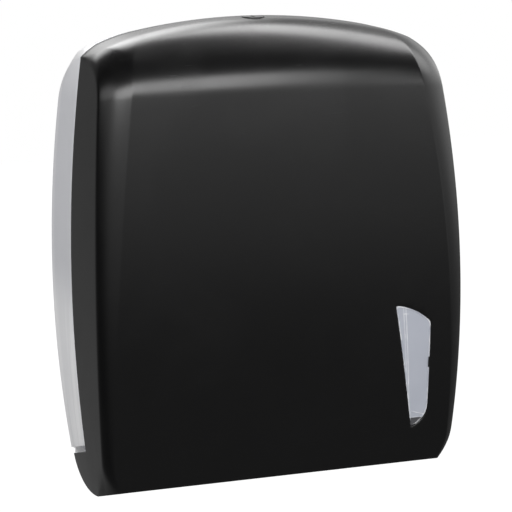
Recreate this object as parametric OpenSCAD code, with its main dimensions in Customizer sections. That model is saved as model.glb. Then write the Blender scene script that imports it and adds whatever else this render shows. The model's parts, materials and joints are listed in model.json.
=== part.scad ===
// Folded towel dispenser: wall housing, hinged front cover, towel tray and key lock.
// The wall is the plane Y = 0, the front faces -Y, X runs to the right and Z is up.
// The origin is the middle of the four wall holes. Depths are counted forward from the wall,
// heights from the front's lower edge.

/* [Body] */
// Width across the front edges where they are widest
body_w = 287; // [280:1:296]
// Depth from the wall to the fullest part of the front
body_d = 138; // [134:1:148]
// Height from the front's lower edge to the crown
body_h = 335; // [330:1:345]
// Radius of the sides' barrel curve at the front edges
side_r = 1420; // [1300:5:2000]
// Height at which the front edges are widest
side_wide_h = 125; // [115:1:140]
// Width across the back, at the wall
back_w = 281; // [276:1:290]
// Radius of the sides' barrel curve at the wall
back_r = 952; // [850:2:1300]
// Height at which the back is widest
back_wide_h = 155; // [145:1:165]
// Radius of the front in side view
front_r = 828; // [700:2:1200]
// Height of the fullest part of the front
front_full_h = 124; // [110:1:140]
// Radius of the top's arch in front view
arch_r = 482; // [440:1:700]
// Drop of the brow's foot below the crown, where the front starts to roll
brow_drop = 49.3; // [46:0.1:53]

/* [Side bands] */
// Width of the falling band at the lower edge
band_w_low = 6.6; // [5:0.2:9]
// Width of the falling band at the crown
band_w_top = 23.8; // [20:0.2:26]
// Fall of the band at the lower edge
band_fall_low = 6.6; // [5:0.2:8]
// Fall of the band at the crown
band_fall_top = 14.6; // [11:0.2:16]
// Swell of the band at the lower edge
band_swell_low = 0.3; // [0:0.1:0.6]
// Swell of the band at the crown
band_swell_top = 1.7; // [0.8:0.1:2]
// Roll of the side edge along most of its length
edge_roll = 1.4; // [0.8:0.1:2]
// Roll of the side edge at the lower corner
corner_roll = 7; // [4:0.2:8]
// Height over which the lower corner's roll fades
corner_roll_h = 30; // [20:1:40]
// Inset of the lower corners in the front view
corner_in = 10.5; // [6:0.5:14]
// Height over which the lower corners are rounded
corner_h = 20; // [16:1:30]
// Dip of the lower corners below the lower edge
corner_dip = 1.6; // [1:0.1:3]
// Distance over which the lower corners are rounded on the cheek
corner_reach = 32; // [24:1:40]

/* [Parting line] */
// Depth of the cover behind the fullest front, at the lower edge
cover_low_d = 72; // [68:1:76]
// Depth of the cover behind the fullest front, at the crown
cover_top_d = 88; // [85:1:92]
// Gap between cover and housing at the parting line
rim_gap = 1; // [0.6:0.1:1.6]
// Fall of the cheek's lines towards the wall
cheek_slope = 0.45; // [0.35:0.01:0.5]

/* [Lower edge] */
// Length of the turned-in lower edge, between the feet
lip_w = 236; // [220:1:240]
// Rise of the lower edge between the feet
lip_rise = 0.6; // [0.3:0.1:1]
// Depth of the turned-in edge
lip_d = 11; // [9:0.5:13]
// Thickness of the turned-in edge
lip_t = 2.4; // [2:0.1:3]

/* [Hinge hook] */
// Depth of the hook's tip
hook_tip_d = 7; // [5:0.5:8]
// Drop of the hook's tip below the lower edge
hook_tip_drop = 4; // [3:0.5:6]
// Drop of the cheek's belly towards the front
belly_front_drop = 20; // [16:0.5:22]
// Drop of the cheek's heel towards the wall
belly_heel_drop = 31; // [29:0.5:34]
// Depth of the belly's forward control point
belly_front_d = 85; // [80:1:90]
// Depth of the belly's rear control point
belly_heel_d = 8; // [6:0.5:10]
// Gap between hook and housing
hook_gap = 5; // [4:0.5:7]
// Depth of the hinge axis
hinge_d = 15; // [14.5:0.5:16]
// Drop of the hinge axis below the lower edge
hinge_drop = 9; // [8:0.5:9.5]
// Radius of the hinge pins
pin_r = 2.5; // [2:0.1:3]
// Length of each hinge pin
pin_len = 19; // [17:0.5:20]
// Running clearance of pin in bush
pin_clear = 0.05; // [0.02:0.01:0.1]
// Wall of the hinge bushes
bush_t = 1.5; // [1.2:0.1:2]
// Length of the hinge bushes and lugs
lug_t = 9; // [8:0.5:10]
// Side gap between lug and boss
lug_gap = 1; // [0.6:0.1:1.5]
// Distance of the hinge lugs inside the cheeks
lug_inset = 13; // [12:0.5:15]
// Wall of the hinge lugs round their bushes
lug_wall = 3; // [2.5:0.1:4]
// Rise of the lugs' foot above the hinge axis
lug_rise = 6; // [4:0.5:8]
// Overlap of the hinge plate and the back plate
hinge_plate_lap = 12; // [8:1:16]
// Radius of the bosses in the cheeks
boss_r = 5.5; // [5:0.1:6]

/* [Walls] */
// Wall of the cover
cover_t = 2.5; // [2:0.1:3]
// Wall of the housing
housing_t = 2.5; // [2:0.1:3]
// Thickness of the back plate
plate_t = 3; // [2.5:0.1:4]
// Slope of the housing's top where it leaves the parting line
fall_slope = 0.2; // [0.1:0.02:0.3]
// Radius of the housing's top falling to the wall
fall_r = 65; // [60:1:90]

/* [Towel bay] */
// Distance of the bay's sides inside the housing's sides
bay_inset = 5.2; // [4:0.1:8]
// Height of the side panels' upper edge
panel_top = 262; // [240:1:264]
// Distance of the panels' front edge behind the front
panel_back = 24; // [20:1:30]
// Distance of the panels' lower corner behind the front's lower edge
panel_low_back = 16.7; // [15:0.1:20]
// Slope of the panels' lower edge in front of the parting line
panel_slope = 0.22; // [0.15:0.01:0.25]
// Distance of the rim web behind the parting line at the crown
web_back = 5; // [4:0.5:8]
// Rise of the rim web above the housing's lower edge
web_lift = 4; // [2:0.5:6]
// Height of the tray's floor
tray_h = 7; // [6:0.5:9]
// Thickness of the tray
tray_t = 2.5; // [2:0.1:3]
// Side clearance of the tray in the bay
tray_clear = 1; // [0.6:0.1:1.5]
// Distance of the tray's front behind the front's lower edge
tray_back = 6; // [5:0.5:10]
// Stand-off of the tray from the back plate
tray_stand = 6; // [5:0.5:8]
// Height of the tray's front lip
tray_lip = 12; // [8:0.5:13]
// Height of the tray's end walls at the front
tray_end_h = 6; // [4:0.5:8]
// Height of the tray's rear flange
tray_flange = 30; // [26:1:36]
// Distance of the inner tray screws from the middle
tray_screw_in = 40; // [30:1:50]
// Distance of the outer tray screws from the middle
tray_screw_out = 90; // [80:1:100]
// Height of the tray's screws above its floor
tray_screw_rise = 22; // [20:0.5:24]
// Length of the dispensing opening
exit_w = 200; // [180:1:210]
// Width of the dispensing opening
exit_d = 55; // [45:1:60]
// Wall of the throat
throat_t = 3; // [2.5:0.1:4]
// Flange of the throat round the opening
throat_flange = 6; // [5:0.5:8]
// Clearance of the throat in the opening
throat_clear = 0.3; // [0.2:0.05:0.5]
// Thickness of the throat's flange
throat_rim_t = 1.5; // [1.2:0.1:2]
// Drop of the throat below the tray
throat_drop = 2; // [1:0.5:3]

/* [Wall holes] */
// Distance between the wall holes across
mount_x = 160; // [140:1:180]
// Distance between the wall holes in height
mount_z = 180; // [160:1:190]
// Radius of the wall holes
mount_r = 2.75; // [2.2:0.05:3.2]
// Height of the wall holes' middle above the front's lower edge
mount_h = 160; // [150:1:170]

/* [Window] */
// Distance of the window's right edge inside the widest front edge
win_side = 29; // [27:0.5:31]
// Height of the right edge's upper end
win_top_h = 110; // [104:1:114]
// Radius of the window's upper edge
win_top_r = 50; // [46:1:56]
// Radius of the window's lower edge
win_low_r = 18; // [16:0.5:20]
// Height of the lower edge's centre
win_low_h = 45; // [42:1:50]
// Lean of the window's left edge, in degrees
win_lean = 9.3; // [7:0.1:11]
// Width of the window at the lower edge's centre
win_w = 15.9; // [13.5:0.1:18.5]
// Thickness of the pane
lens_t = 1.6; // [1.2:0.1:2]
// Flange of the pane round the window
lens_flange = 8; // [7:0.5:9]
// Clearance of the pane in the window
lens_clear = 0.15; // [0.1:0.05:0.3]
// Gap between the pane's flange and the cover
lens_gap = 0.2; // [0.1:0.05:0.3]
// Set-back of the pane's face
lens_sunk = 0.8; // [0.4:0.1:1.2]
// Radius of the pane's studs
stud_r = 1.5; // [1.2:0.1:1.8]
// Height of the pane's studs above the lower edge
stud_h = 78; // [70:1:90]
// Radius of the push-on clips
clip_r = 3.5; // [3:0.1:4]
// Thickness of the push-on clips
clip_t = 1; // [0.8:0.1:1.4]
// Gap between pane and clips
clip_gap = 0.4; // [0.3:0.05:0.5]
// Stand of the studs behind the clips
stud_proud = 0.2; // [0.1:0.05:0.4]

/* [Lock] */
// Distance of the lock's axis in front of the parting line
lock_fore = 12; // [11.5:0.5:15]
// Radius of the lock's face
face_r = 8; // [7:0.1:8.5]
// Gap round the lock's face
face_gap = 0.5; // [0.4:0.05:0.8]
// Rise of the lock's face above the crown
face_rise = 0.4; // [0.2:0.1:0.8]
// Radius of the barrel's stem
stem_r = 6.5; // [6:0.1:7]
// Running clearance of the stem
stem_clear = 0.06; // [0.02:0.01:0.1]
// Drop of the lock body's upper face below the crown
lock_drop = 7; // [6:0.5:8]
// Height of the lock body
lock_body_h = 19; // [17:0.5:22]
// Width of the lock body
lock_body_w = 64; // [62:1:70]
// Depth of the lock body from back to front
lock_body_d = 26; // [24:0.5:28]
// Distance of the lock's screws from the middle
lock_screw_x = 21.5; // [21:0.5:22]
// Bite of the lock's screws in the cover
screw_bite = 4; // [3.5:0.1:4.5]
// Width of the key slot
key_w = 1.8; // [1.4:0.1:2.2]
// Length of the key slot
key_len = 8; // [6:0.5:10]
// Depth of the key slot
key_deep = 1.6; // [1:0.1:2]
// Radius of the crank disc
cam_r = 10; // [9:0.1:10.5]
// Thickness of the crank disc
cam_t = 4; // [3.5:0.1:5]
// Clearance round the crank disc
cam_gap = 0.4; // [0.3:0.05:0.6]
// Height at which the crank disc floats over the bolt
cam_float = 0.3; // [0.2:0.05:0.4]
// Distance of the crank pin from the lock's axis
crank_r = 5.66; // [5.5:0.02:5.8]
// Radius of the crank pin
crank_pin_r = 1.6; // [1.4:0.1:1.8]
// Throw of the bolt
bolt_throw = 8; // [7.6:0.1:8.2]
// Thickness of the bolt
bolt_t = 6.4; // [6:0.1:7]
// Width of the bolt's body
bolt_w = 18; // [17:0.5:19]
// Length of the bolt's body on each side of the lock's axis
bolt_half = 16; // [15:0.5:17]
// Width of the bolt's arm
arm_w = 8; // [7:0.5:9]
// Reach of the bolt's tooth
tooth_w = 8; // [7.6:0.1:8.4]
// Depth of the tooth from back to front
tooth_d = 6; // [5:0.5:7]
// Sliding clearance of the bolt
bolt_clear = 0.3; // [0.2:0.05:0.4]
// Thickness of the keeper
keeper_t = 2.5; // [2:0.1:3]
// Length of the keeper's end blocks
keeper_end = 7; // [6:0.5:8]

/* [Catch] */
// Distance of the catch flange's front face behind the parting line
catch_back = 5; // [4:0.5:6]
// Thickness of the catch plate
catch_t = 1.5; // [1.2:0.1:2]
// Width of the catch plate
catch_w = 44; // [40:1:50]
// Width of the lug that the tooth goes behind
catch_lug_w = 11; // [9:0.5:12]
// Reach of the catch plate towards the wall
catch_reach = 14; // [13:0.5:15]
// Drop of the catch plate below the crown
catch_drop = 12; // [11:0.5:13]
// Gap between lug and tooth
catch_gap = 0.6; // [0.4:0.1:1]
// Right edge of the lug, from the middle
catch_lug_x = 3; // [2.5:0.1:3.2]
// Reach of the lug below the bolt
catch_lug_over = 2; // [1:0.5:4]
// Distance of the catch's screws from the middle
catch_screw_x = 14; // [12:0.5:16]

/* [Spring] */
// Mean radius of the latch spring
spring_r = 1.7; // [1.5:0.1:1.8]
// Radius of the spring's wire
spring_wire = 0.3; // [0.25:0.05:0.35]
// Turns of the spring
spring_turns = 5; // [4:1:6]
// Length of the spring with the bolt drawn back
spring_len = 13; // [12:0.5:14]
// Distance of the spring in front of the lock's axis
spring_off = 3; // [2.5:0.5:4]

/* [Screws] */
// Radius of the screws' shanks
screw_r = 1.5; // [1.3:0.05:1.7]
// Radius of the screws' heads
head_r = 2.8; // [2.6:0.1:3.2]
// Thickness of the screws' heads
head_t = 1.8; // [1.5:0.1:2.2]
// Length of the screws' shanks
screw_len = 8; // [7:0.5:9]
// Clearance of the shanks in plain holes
screw_clear = 0.1; // [0.05:0.05:0.2]
// Clearance round the heads in counterbores
head_clear = 0.4; // [0.3:0.1:0.6]
// Radius of the bosses that take the screws
screw_boss_r = 4; // [3.5:0.1:4.5]
// Length of the recess across a head
recess_l = 3.4; // [3:0.1:3.8]
// Width of the recess across a head
recess_w = 0.7; // [0.5:0.1:0.9]
// Depth of the recess in a head
recess_t = 0.8; // [0.6:0.1:1]

/* [Hidden] */
$fn = 64;

// Counts of the cover's mesh of shape
front_rows = 14;
brow_rows = 10;
top_rows = 2;
rows = front_rows + brow_rows + top_rows;
hook_rows = 4;
mid_cols = 6;
band_cols = 4;
roll_cols = 3;
cheek_cols = 8;
// Counts of the housing's mesh of shape
wall_cols = 16;
arch_cols = 10;
fall_rows = 7;
// Shares of a step at which the back plate's outline has its points
plate_share = 0.4;
plate_end = 0.9;
// Sides and rings of the spring's wire
wire_sides = 6;
turn_rings = 8;
// Small overlap that welds pieces of one moulding
weld = 1;
// Clearance of the spring's ends
seat = 0.4;
// Depth of the crank screw's head below the disc's face
seat_sunk = 0.2;
// Distance of the walls' rear edge in front of the wall
wall_back = 0.5;
// Over-length of cutting tools
over = 40;

hinge_z = -hinge_drop;
crown_z = body_h;
rim_low = body_d - cover_low_d;
rim_top = body_d - cover_top_d;
lock_d = rim_top + lock_fore;
catch_d = rim_top - catch_back;
win_right = body_w / 2 - win_side;
win_left = win_right - win_w;
lock_top = crown_z - lock_drop;
lock_low = lock_top - lock_body_h;
cam_top = lock_low + cam_t + cam_float;
cam_seat = cam_top - cam_t + head_t + seat_sunk;
keeper_screw_x = lock_body_w / 2 - keeper_end / 2;
bolt_top = lock_low - bolt_clear;
bolt_low = bolt_top - bolt_t;
keeper_top = bolt_low - bolt_clear;
web_d = rim_top - web_back;
panel_low_d = front_depth(0) - panel_low_back;
tray_front = front_depth(0) - tray_back;
tray_rear = plate_t + tray_stand;
exit_mid = (plate_t + tray_front) / 2;
boss_end = side_half(hinge_d, hinge_z) - cover_t / 2;
lug_x = boss_end - lug_t - lug_inset;
boss_x = lug_x + lug_t + lug_gap;
pin_x = lug_x - lug_gap;
lug_r = pin_r + pin_clear + bush_t + lug_wall;
bolt_mid = (bolt_low + bolt_top) / 2;
spring_end = lock_body_w / 2 - keeper_end;
tray_screw_xs = [-tray_screw_out, -tray_screw_in, tray_screw_in, tray_screw_out];
tray_screw_h = tray_h + tray_screw_rise;
catch_screw_d = catch_d - catch_reach / 2;
catch_z = crown_z - catch_drop;
catch_boss_top = crown_z - fall(catch_screw_d - screw_boss_r) - weld;
lock_boss_top = crown(lock_screw_x) - cover_t / 2;
win_low_x = win_right - win_low_r;
win_top_x = win_right - win_top_r * cos(45);
win_top_z = win_top_h - win_top_r * sin(45);

function lerp(a, b, t) = a + (b - a) * t;
function along(p, q, len) = p + (q - p) * len / norm(q - p);
function sq(v) = v * v;

// Outer form, as depths and half-widths at a height z above the lower edge
function front_depth(z) = body_d - front_r + sqrt(sq(front_r) - sq(z - front_full_h));
function band_width(z) = lerp(band_w_low, band_w_top, z / body_h);
function band_fall(z) = lerp(band_fall_low, band_fall_top, z / body_h);
function edge_depth(z) = front_depth(z) - band_fall(z);
function edge_half(z) = body_w / 2 - sq(z - side_wide_h) / (2 * side_r);
function back_half(z) = back_w / 2 - sq(z - back_wide_h) / (2 * back_r);
function side_half(d, z) = lerp(back_half(z), edge_half(z), d / edge_depth(z));
function rim_depth(z) = lerp(rim_low, rim_top, z / body_h);
function crown(x) = body_h - arch_r + sqrt(sq(arch_r) - sq(x));

// Lean of the front at its lower edge and at the brow's foot
foot_a = asin(-front_full_h / front_r);
brow_a = asin((body_h - brow_drop - front_full_h) / front_r);
// Radius and centre depth of the roll from front to top, at a distance x from the middle
function brow_r(x) = (crown(x) - body_h + brow_drop) / (1 - sin(brow_a));
function brow_d(x) = body_d - front_r + (front_r - brow_r(x)) * cos(brow_a);

// Depth, height and lean of row i at x, inset by t: front, then brow, then top back to the parting line
function skin_front(a, t) =
    [body_d - front_r + (front_r - t) * cos(a), front_full_h + (front_r - t) * sin(a), a];
function skin_brow(x, a, t) =
    let (r = brow_r(x)) [brow_d(x) + (r - t) * cos(a), crown(x) - r + (r - t) * sin(a), a];
function skin_top(x, f, t) = [lerp(brow_d(x), rim_depth(crown(x)), f), crown(x) - t, 90];
function skin(x, i, t) =
    i <= front_rows ? skin_front(lerp(foot_a, brow_a, pow(i / front_rows, 1.5)), t)
    : i <= front_rows + brow_rows ? skin_brow(x, lerp(brow_a, 90, (i - front_rows) / brow_rows), t)
    : skin_top(x, (i - front_rows - brow_rows) / top_rows, t);

// Share of the lower corner's rounding at a height
function corner_share(z) = sq(max(0, 1 - z / corner_h));
// The crease inside the band, and the side edge outside it, on row i
function crease_x(i) =
    let (z = skin(body_w / 2 - 2 * band_w_top, i, 0)[1])
    edge_half(z) - band_width(z) - corner_in * corner_share(z);
function edge_point(i, t) =
    let (s = skin(crease_x(i), i, t), fall = band_fall(s[1]), share = corner_share(s[1]))
    let (d = s[0] - fall * cos(s[2]), z = s[1] - fall * sin(s[2]) - corner_dip * share)
    [side_half(d, z) - t - corner_in * share, d, z];

// The cheek's rear rim on row i: first along the hook's upper edge, then up the parting line
function rim_height(i, t) =
    let (e = edge_point(i, t)) e[2] - cheek_slope * (e[1] - rim_depth(e[2])) - edge_roll;
hook_tip = [hook_tip_d, -hook_tip_drop];
hook_root = [rim_depth(rim_height(hook_rows, 0)), rim_height(hook_rows, 0)];
function hook_edge(d) =
    lerp(hook_tip[1], hook_root[1], (d - hook_tip[0]) / (hook_root[0] - hook_tip[0]));
function rim_point(i, t) =
    i <= hook_rows ? lerp(hook_tip, hook_root, i / hook_rows)
    : let (z = rim_height(i, t)) [rim_depth(z), z];

// The cheek's belly: a cubic curve under the straight line from front corner to hook tip
belly = [[edge_point(0, 0)[1], edge_point(0, 0)[2]], [belly_front_d, -belly_front_drop],
    [belly_heel_d, -belly_heel_drop], hook_tip];
function cubic(p, s) =
    p[0] * pow(1 - s, 3) + 3 * p[1] * s * sq(1 - s) + 3 * p[2] * sq(s) * (1 - s) + p[3] * pow(s, 3);
function belly_share(i) = i < hook_rows ? pow(1 - i / hook_rows, 1.5) : 0;
function cheek_plane(i, s, t) =
    let (e = edge_point(i, t), line = lerp([e[1], e[2]], rim_point(i, t), s))
    line + belly_share(i) * (cubic(belly, s) - lerp(belly[0], belly[3], s));
function cheek_point(i, s, t) =
    let (p = cheek_plane(i, s, t), e = edge_point(i, t), flat = side_half(e[1], e[2]) - t)
    let (back = sq(max(0, 1 - norm(p - [e[1], e[2]]) / corner_reach)))
    [side_half(p[0], p[1]) - t - (flat - e[0]) * back, p[0], p[1]];

// The band from crease c to edge e swells outward, on a surface that leans by an angle
function band_swell(z) = lerp(band_swell_low, band_swell_top, z / body_h);
function band_point(c, e, lean, s) =
    let (up = [0, cos(lean), sin(lean)], run = e[0] - c[0], drop = (c - e) * up)
    lerp(c, e, s) + 4 * s * (1 - s) * band_swell(c[2]) * ([drop, 0, 0] + run * up) / norm([run, drop]);
function roll_len(i) =
    let (z = edge_point(i, 0)[2]) lerp(edge_roll, corner_roll, sq(max(0, 1 - z / corner_roll_h)));
function half_row(i, t) =
    let (xc = crease_x(i), e = edge_point(i, t), reach = norm(e - cheek_point(i, 1, t)))
    let (len = min(roll_len(i), reach / 3), start = len / reach)
    let (k = skin(xc, i, t), c = [xc, k[0], k[1]], free = 1 - len / norm(e - c))
    let (a = along(e, band_point(c, e, k[2], free), len), b = along(e, cheek_point(i, 0.2, t), len))
    concat(
        [for (j = [0 : mid_cols]) let (x = xc * j / mid_cols, s = skin(x, i, t)) [x, s[0], s[1]]],
        [for (j = [1 : band_cols - 1]) band_point(c, e, k[2], free * j / band_cols)],
        [for (j = [0 : roll_cols]) let (s = j / roll_cols) a * sq(1 - s) + 2 * e * s * (1 - s) + b * sq(s)],
        [for (j = [1 : cheek_cols]) cheek_point(i, lerp(start, 1, j / cheek_cols), t)]);
function placed(p) = [p[0], -p[1], p[2] - mount_h];
function mirrored(p) = [-p[0], p[1], p[2]];
function full_row(half) =
    concat([for (j = [len(half) - 1 : -1 : 1]) placed(mirrored(half[j]))], [for (p = half) placed(p)]);

// A closed shell between two like grids of points
module shell(outer, inner) {
    n = len(outer) - 1;
    c = len(outer[0]);
    total = (n + 1) * c;
    quads = concat(
        [for (i = [0 : n - 1], j = [0 : c - 2])
            [i * c + j, (i + 1) * c + j, (i + 1) * c + j + 1, i * c + j + 1]],
        [for (i = [0 : n - 1], j = [0 : c - 2])
            [total + i * c + j, total + i * c + j + 1, total + (i + 1) * c + j + 1, total + (i + 1) * c + j]],
        [for (j = [0 : c - 2]) [j, j + 1, total + j + 1, total + j]],
        [for (j = [0 : c - 2]) [n * c + j + 1, n * c + j, total + n * c + j, total + n * c + j + 1]],
        [for (i = [0 : n - 1]) [(i + 1) * c, i * c, total + i * c, total + (i + 1) * c]],
        [for (i = [0 : n - 1])
            [(i + 1) * c - 1, (i + 2) * c - 1, total + (i + 2) * c - 1, total + (i + 1) * c - 1]]);
    polyhedron(
        points = concat([for (r = outer) each r], [for (r = inner) each r]),
        faces = [for (q = quads) each [[q[0], q[1], q[2]], [q[0], q[2], q[3]]]],
        convexity = 10);
}

// Placing by distance from the middle, depth and height
module at(x, d, z) {
    translate([x, -d, z - mount_h]) children();
}
// A block given by its ranges of x, depth and height
module block(x, d, z) {
    at(x[0], d[1], z[0]) cube([x[1] - x[0], d[1] - d[0], z[1] - z[0]]);
}
// A plate of a depth-height outline, standing across x
module upright(x, thick, outline) {
    translate([x, 0, -mount_h]) rotate([90, 0, 90]) linear_extrude(thick)
        polygon([for (p = outline) [-p[0], p[1]]]);
}
// A plate of a front-view outline, from a depth forward
module fronted(d, thick, outline) {
    translate([0, -d, -mount_h]) rotate([90, 0, 0]) linear_extrude(thick) polygon(outline);
}
// Round bars along x, forward in depth, and downward
module bar_x(x, d, z, r, len) {
    at(x, d, z) rotate([0, 90, 0]) cylinder(r = r, h = len);
}
module bar_d(x, d, z, r, len) {
    at(x, d, z) rotate([90, 0, 0]) cylinder(r = r, h = len);
}
module bar_down(x, d, z, r, len) {
    at(x, d, z - len) cylinder(r = r, h = len);
}
// A screw with a pan head, its head's seat at the origin and its shank along +Z
module screw() {
    cylinder(r = screw_r, h = screw_len);
    difference() {
        translate([0, 0, -head_t]) cylinder(r = head_r, h = head_t);
        for (a = [0, 90]) rotate(a) translate([-recess_l / 2, -recess_w / 2, -head_t - weld])
            cube([recess_l, recess_w, recess_t + weld]);
    }
}

// Housing outline at depth d: sides, band and arch, falling towards the wall
corner = edge_point(rows, 0);
function fall(d) = let (g = max(0, rim_top - rim_gap - d)) fall_slope * g + sq(g) / (2 * fall_r);
function wall_foot(d) = hook_edge(d) + hook_gap;
function wall_depth(z, f) = lerp(rim_depth(z) - rim_gap, wall_back, f);
function wall_side(f, s, t) =
    let (z0 = wall_foot(wall_depth(hook_root[1], f)), z1 = corner[2] - fall(wall_depth(corner[2], f)) - t / 2)
    let (z = lerp(z0, z1, s), d = wall_depth(z, f))
    [side_half(d, z) - t, d, z];
function wall_top(f, x, t) = let (d = wall_depth(crown(x), f)) [x, d, crown(x) - fall(d) - t];
function wall_half(f, t) =
    let (xc = crease_x(rows) - t / 2, e = wall_side(f, 1, t), c = wall_top(f, xc, t))
    concat(
        [for (k = [0 : arch_cols]) wall_top(f, xc * k / arch_cols, t)],
        [for (k = [1 : band_cols]) band_point(c, e, 90, k / band_cols)],
        [for (k = [1 : wall_cols]) wall_side(f, 1 - k / wall_cols, t)]);
function wall_grid(t) = [for (i = [0 : fall_rows]) full_row(wall_half(i / fall_rows, t))];
// The back plate's outline runs inside the wall, its points between the wall's own
function plate_half() =
    let (h = [for (p = wall_half(1, housing_t / 2)) [p[0], p[2]]], n = len(h) - 1)
    concat([for (k = [0 : n - 1]) lerp(h[k], h[k + 1], plate_share)], [lerp(h[n - 1], h[n], plate_end)]);
function plate_outline() =
    let (h = plate_half())
    concat([for (j = [len(h) - 1 : -1 : 0]) [-h[j][0], h[j][1]]], h);

// The bay between the side panels
bay_w = 2 * (side_half(web_d, wall_foot(web_d) + web_lift) - bay_inset);
panel_x = bay_w / 2;
tray_half = panel_x - tray_clear;
function panel_foot(d) =
    d < hook_root[0] ? wall_foot(d) : wall_foot(hook_root[0]) + panel_slope * (d - hook_root[0]);
function panel_outline() = concat(
    [[web_d - housing_t, wall_foot(web_d - housing_t)], [hook_root[0], wall_foot(hook_root[0])],
     [panel_low_d, panel_foot(panel_low_d)]],
    [for (k = [1 : 8]) let (z = lerp(panel_foot(panel_low_d), panel_top, k / 8))
        [front_depth(z) - panel_back, z]],
    [[web_d - housing_t, panel_top]]);
function web_outline() = concat(
    [for (k = [0 : 10]) let (z = lerp(wall_foot(web_d) + web_lift, panel_top, k / 10))
        [side_half(web_d, z) - housing_t + weld, z]],
    [[panel_x, panel_top], [panel_x, wall_foot(web_d) + web_lift]]);

module both_sides() {
    children();
    mirror([1, 0, 0]) children();
}

module housing_side() {
    upright(panel_x, housing_t, panel_outline());
    fronted(web_d - housing_t, housing_t, web_outline());
    // Hinge lug with its foot on the back plate
    difference() {
        union() {
            bar_x(lug_x, hinge_d, hinge_z, lug_r, lug_t);
            block([lug_x, lug_x + lug_t], [0, hinge_d], [hinge_z - lug_r, hinge_z + lug_rise]);
        }
        bar_x(lug_x - over, hinge_d, hinge_z, pin_r + pin_clear + bush_t, lug_t + 2 * over);
    }
}

module rear_housing() {
    color([0.78, 0.79, 0.81]) difference() {
        union() {
            shell(wall_grid(0), wall_grid(housing_t));
            fronted(0, plate_t, plate_outline());
            block([-lug_x - lug_t, lug_x + lug_t], [0, plate_t],
                [hinge_z - lug_r, wall_foot(0) + hinge_plate_lap]);
            both_sides() housing_side();
            // Bosses for the tray's screws and the catch's screws
            for (x = tray_screw_xs) bar_d(x, weld, tray_screw_h, screw_boss_r, tray_rear - weld);
            for (x = [-1, 1])
                bar_down(x * catch_screw_x, catch_screw_d, catch_boss_top, screw_boss_r,
                    catch_boss_top - catch_z);
        }
        for (x = [-1, 1], z = [-1, 1])
            bar_d(x * mount_x / 2, -over, mount_h + z * mount_z / 2, mount_r, 2 * over);
        for (x = tray_screw_xs) bar_d(x, plate_t, tray_screw_h, screw_r, over);
        for (x = [-1, 1])
            bar_down(x * catch_screw_x, catch_screw_d, catch_z + screw_len - catch_t, screw_r, screw_len);
    }
}

// A rounded slot standing in height, its ends half circles
module slot_prism(w, d, z0, z1) {
    block([-(w - d) / 2, (w - d) / 2], [exit_mid - d / 2, exit_mid + d / 2], [z0, z1]);
    for (x = [-1, 1]) at(x * (w - d) / 2, exit_mid, z0) cylinder(r = d / 2, h = z1 - z0);
}

module towel_tray() {
    color([0.82, 0.83, 0.85]) difference() {
        union() {
            block([-tray_half, tray_half], [tray_rear, tray_front], [tray_h, tray_h + tray_t]);
            block([-tray_half, tray_half], [tray_rear, tray_rear + tray_t], [tray_h, tray_h + tray_flange]);
            block([-tray_half, tray_half], [tray_front - tray_t, tray_front], [tray_h, tray_h + tray_lip]);
            // End walls
            both_sides() upright(tray_half - tray_t, tray_t,
                [[tray_rear, tray_h], [tray_rear, tray_h + tray_flange], [exit_mid, tray_h + tray_end_h],
                 [tray_front, tray_h + tray_end_h], [tray_front, tray_h]]);
        }
        slot_prism(exit_w, exit_d, tray_h - over, tray_h + tray_t + over);
        for (x = tray_screw_xs) bar_d(x, 0, tray_screw_h, screw_r + screw_clear, over);
    }
}

module exit_throat() {
    w = exit_w - 2 * throat_clear;
    d = exit_d - 2 * throat_clear;
    top = tray_h + tray_t;
    color([0.7, 0.71, 0.74]) difference() {
        union() {
            slot_prism(w + 2 * throat_flange, d + 2 * throat_flange, top, top + throat_rim_t);
            slot_prism(w, d, tray_h - throat_drop, top + throat_rim_t);
        }
        slot_prism(w - 2 * throat_t, d - 2 * throat_t, -over, over);
    }
}

module tray_screws() {
    color("silver") for (x = tray_screw_xs)
        at(x, tray_rear + tray_t, tray_screw_h) rotate([-90, 0, 0]) screw();
}

module catch_plate() {
    color([0.72, 0.73, 0.75]) difference() {
        union() {
            block([-catch_w / 2, catch_w / 2], [catch_d - catch_reach, catch_d],
                [catch_z - catch_t, catch_z]);
            block([catch_lug_x - catch_lug_w, catch_lug_x], [catch_d - catch_t, catch_d],
                [bolt_low - catch_lug_over, catch_z]);
        }
        for (x = [-1, 1])
            bar_down(x * catch_screw_x, catch_screw_d, catch_z + over, screw_r + screw_clear, 2 * over);
    }
}

module catch_screws() {
    color("silver") for (x = [-1, 1])
        at(x * catch_screw_x, catch_screw_d, catch_z - catch_t) screw();
}

module hinge_bush() {
    difference() {
        bar_x(lug_x, hinge_d, hinge_z, pin_r + pin_clear + bush_t, lug_t);
        bar_x(lug_x - over, hinge_d, hinge_z, pin_r + pin_clear, lug_t + 2 * over);
    }
}
module hinge_bush_right() {
    color("ivory") hinge_bush();
}
module hinge_bush_left() {
    color("ivory") mirror([1, 0, 0]) hinge_bush();
}
module hinge_pin_right() {
    color("silver") bar_x(pin_x, hinge_d, hinge_z, pin_r, pin_len);
}
module hinge_pin_left() {
    color("silver") mirror([1, 0, 0]) bar_x(pin_x, hinge_d, hinge_z, pin_r, pin_len);
}

// The window's outline grown by g, as a prism between two depths
module window_prism(g, d0, d1) {
    intersection() {
        block([0, win_right + g], [d0, d1], [0, body_h]);
        union() {
            bar_d(win_top_x, d0, win_top_z, win_top_r + g, d1 - d0);
            block([0, win_right + over], [d0, d1], [0, win_top_z]);
        }
        union() {
            bar_d(win_low_x, d0, win_low_h, win_low_r + g, d1 - d0);
            block([0, win_right + over], [d0, d1], [win_low_h, body_h]);
        }
        at(win_left, 0, win_low_h) rotate([0, -win_lean, 0])
            translate([-g, -d1, -body_h]) cube([2 * over, d1 - d0, 2 * body_h]);
    }
}
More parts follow.
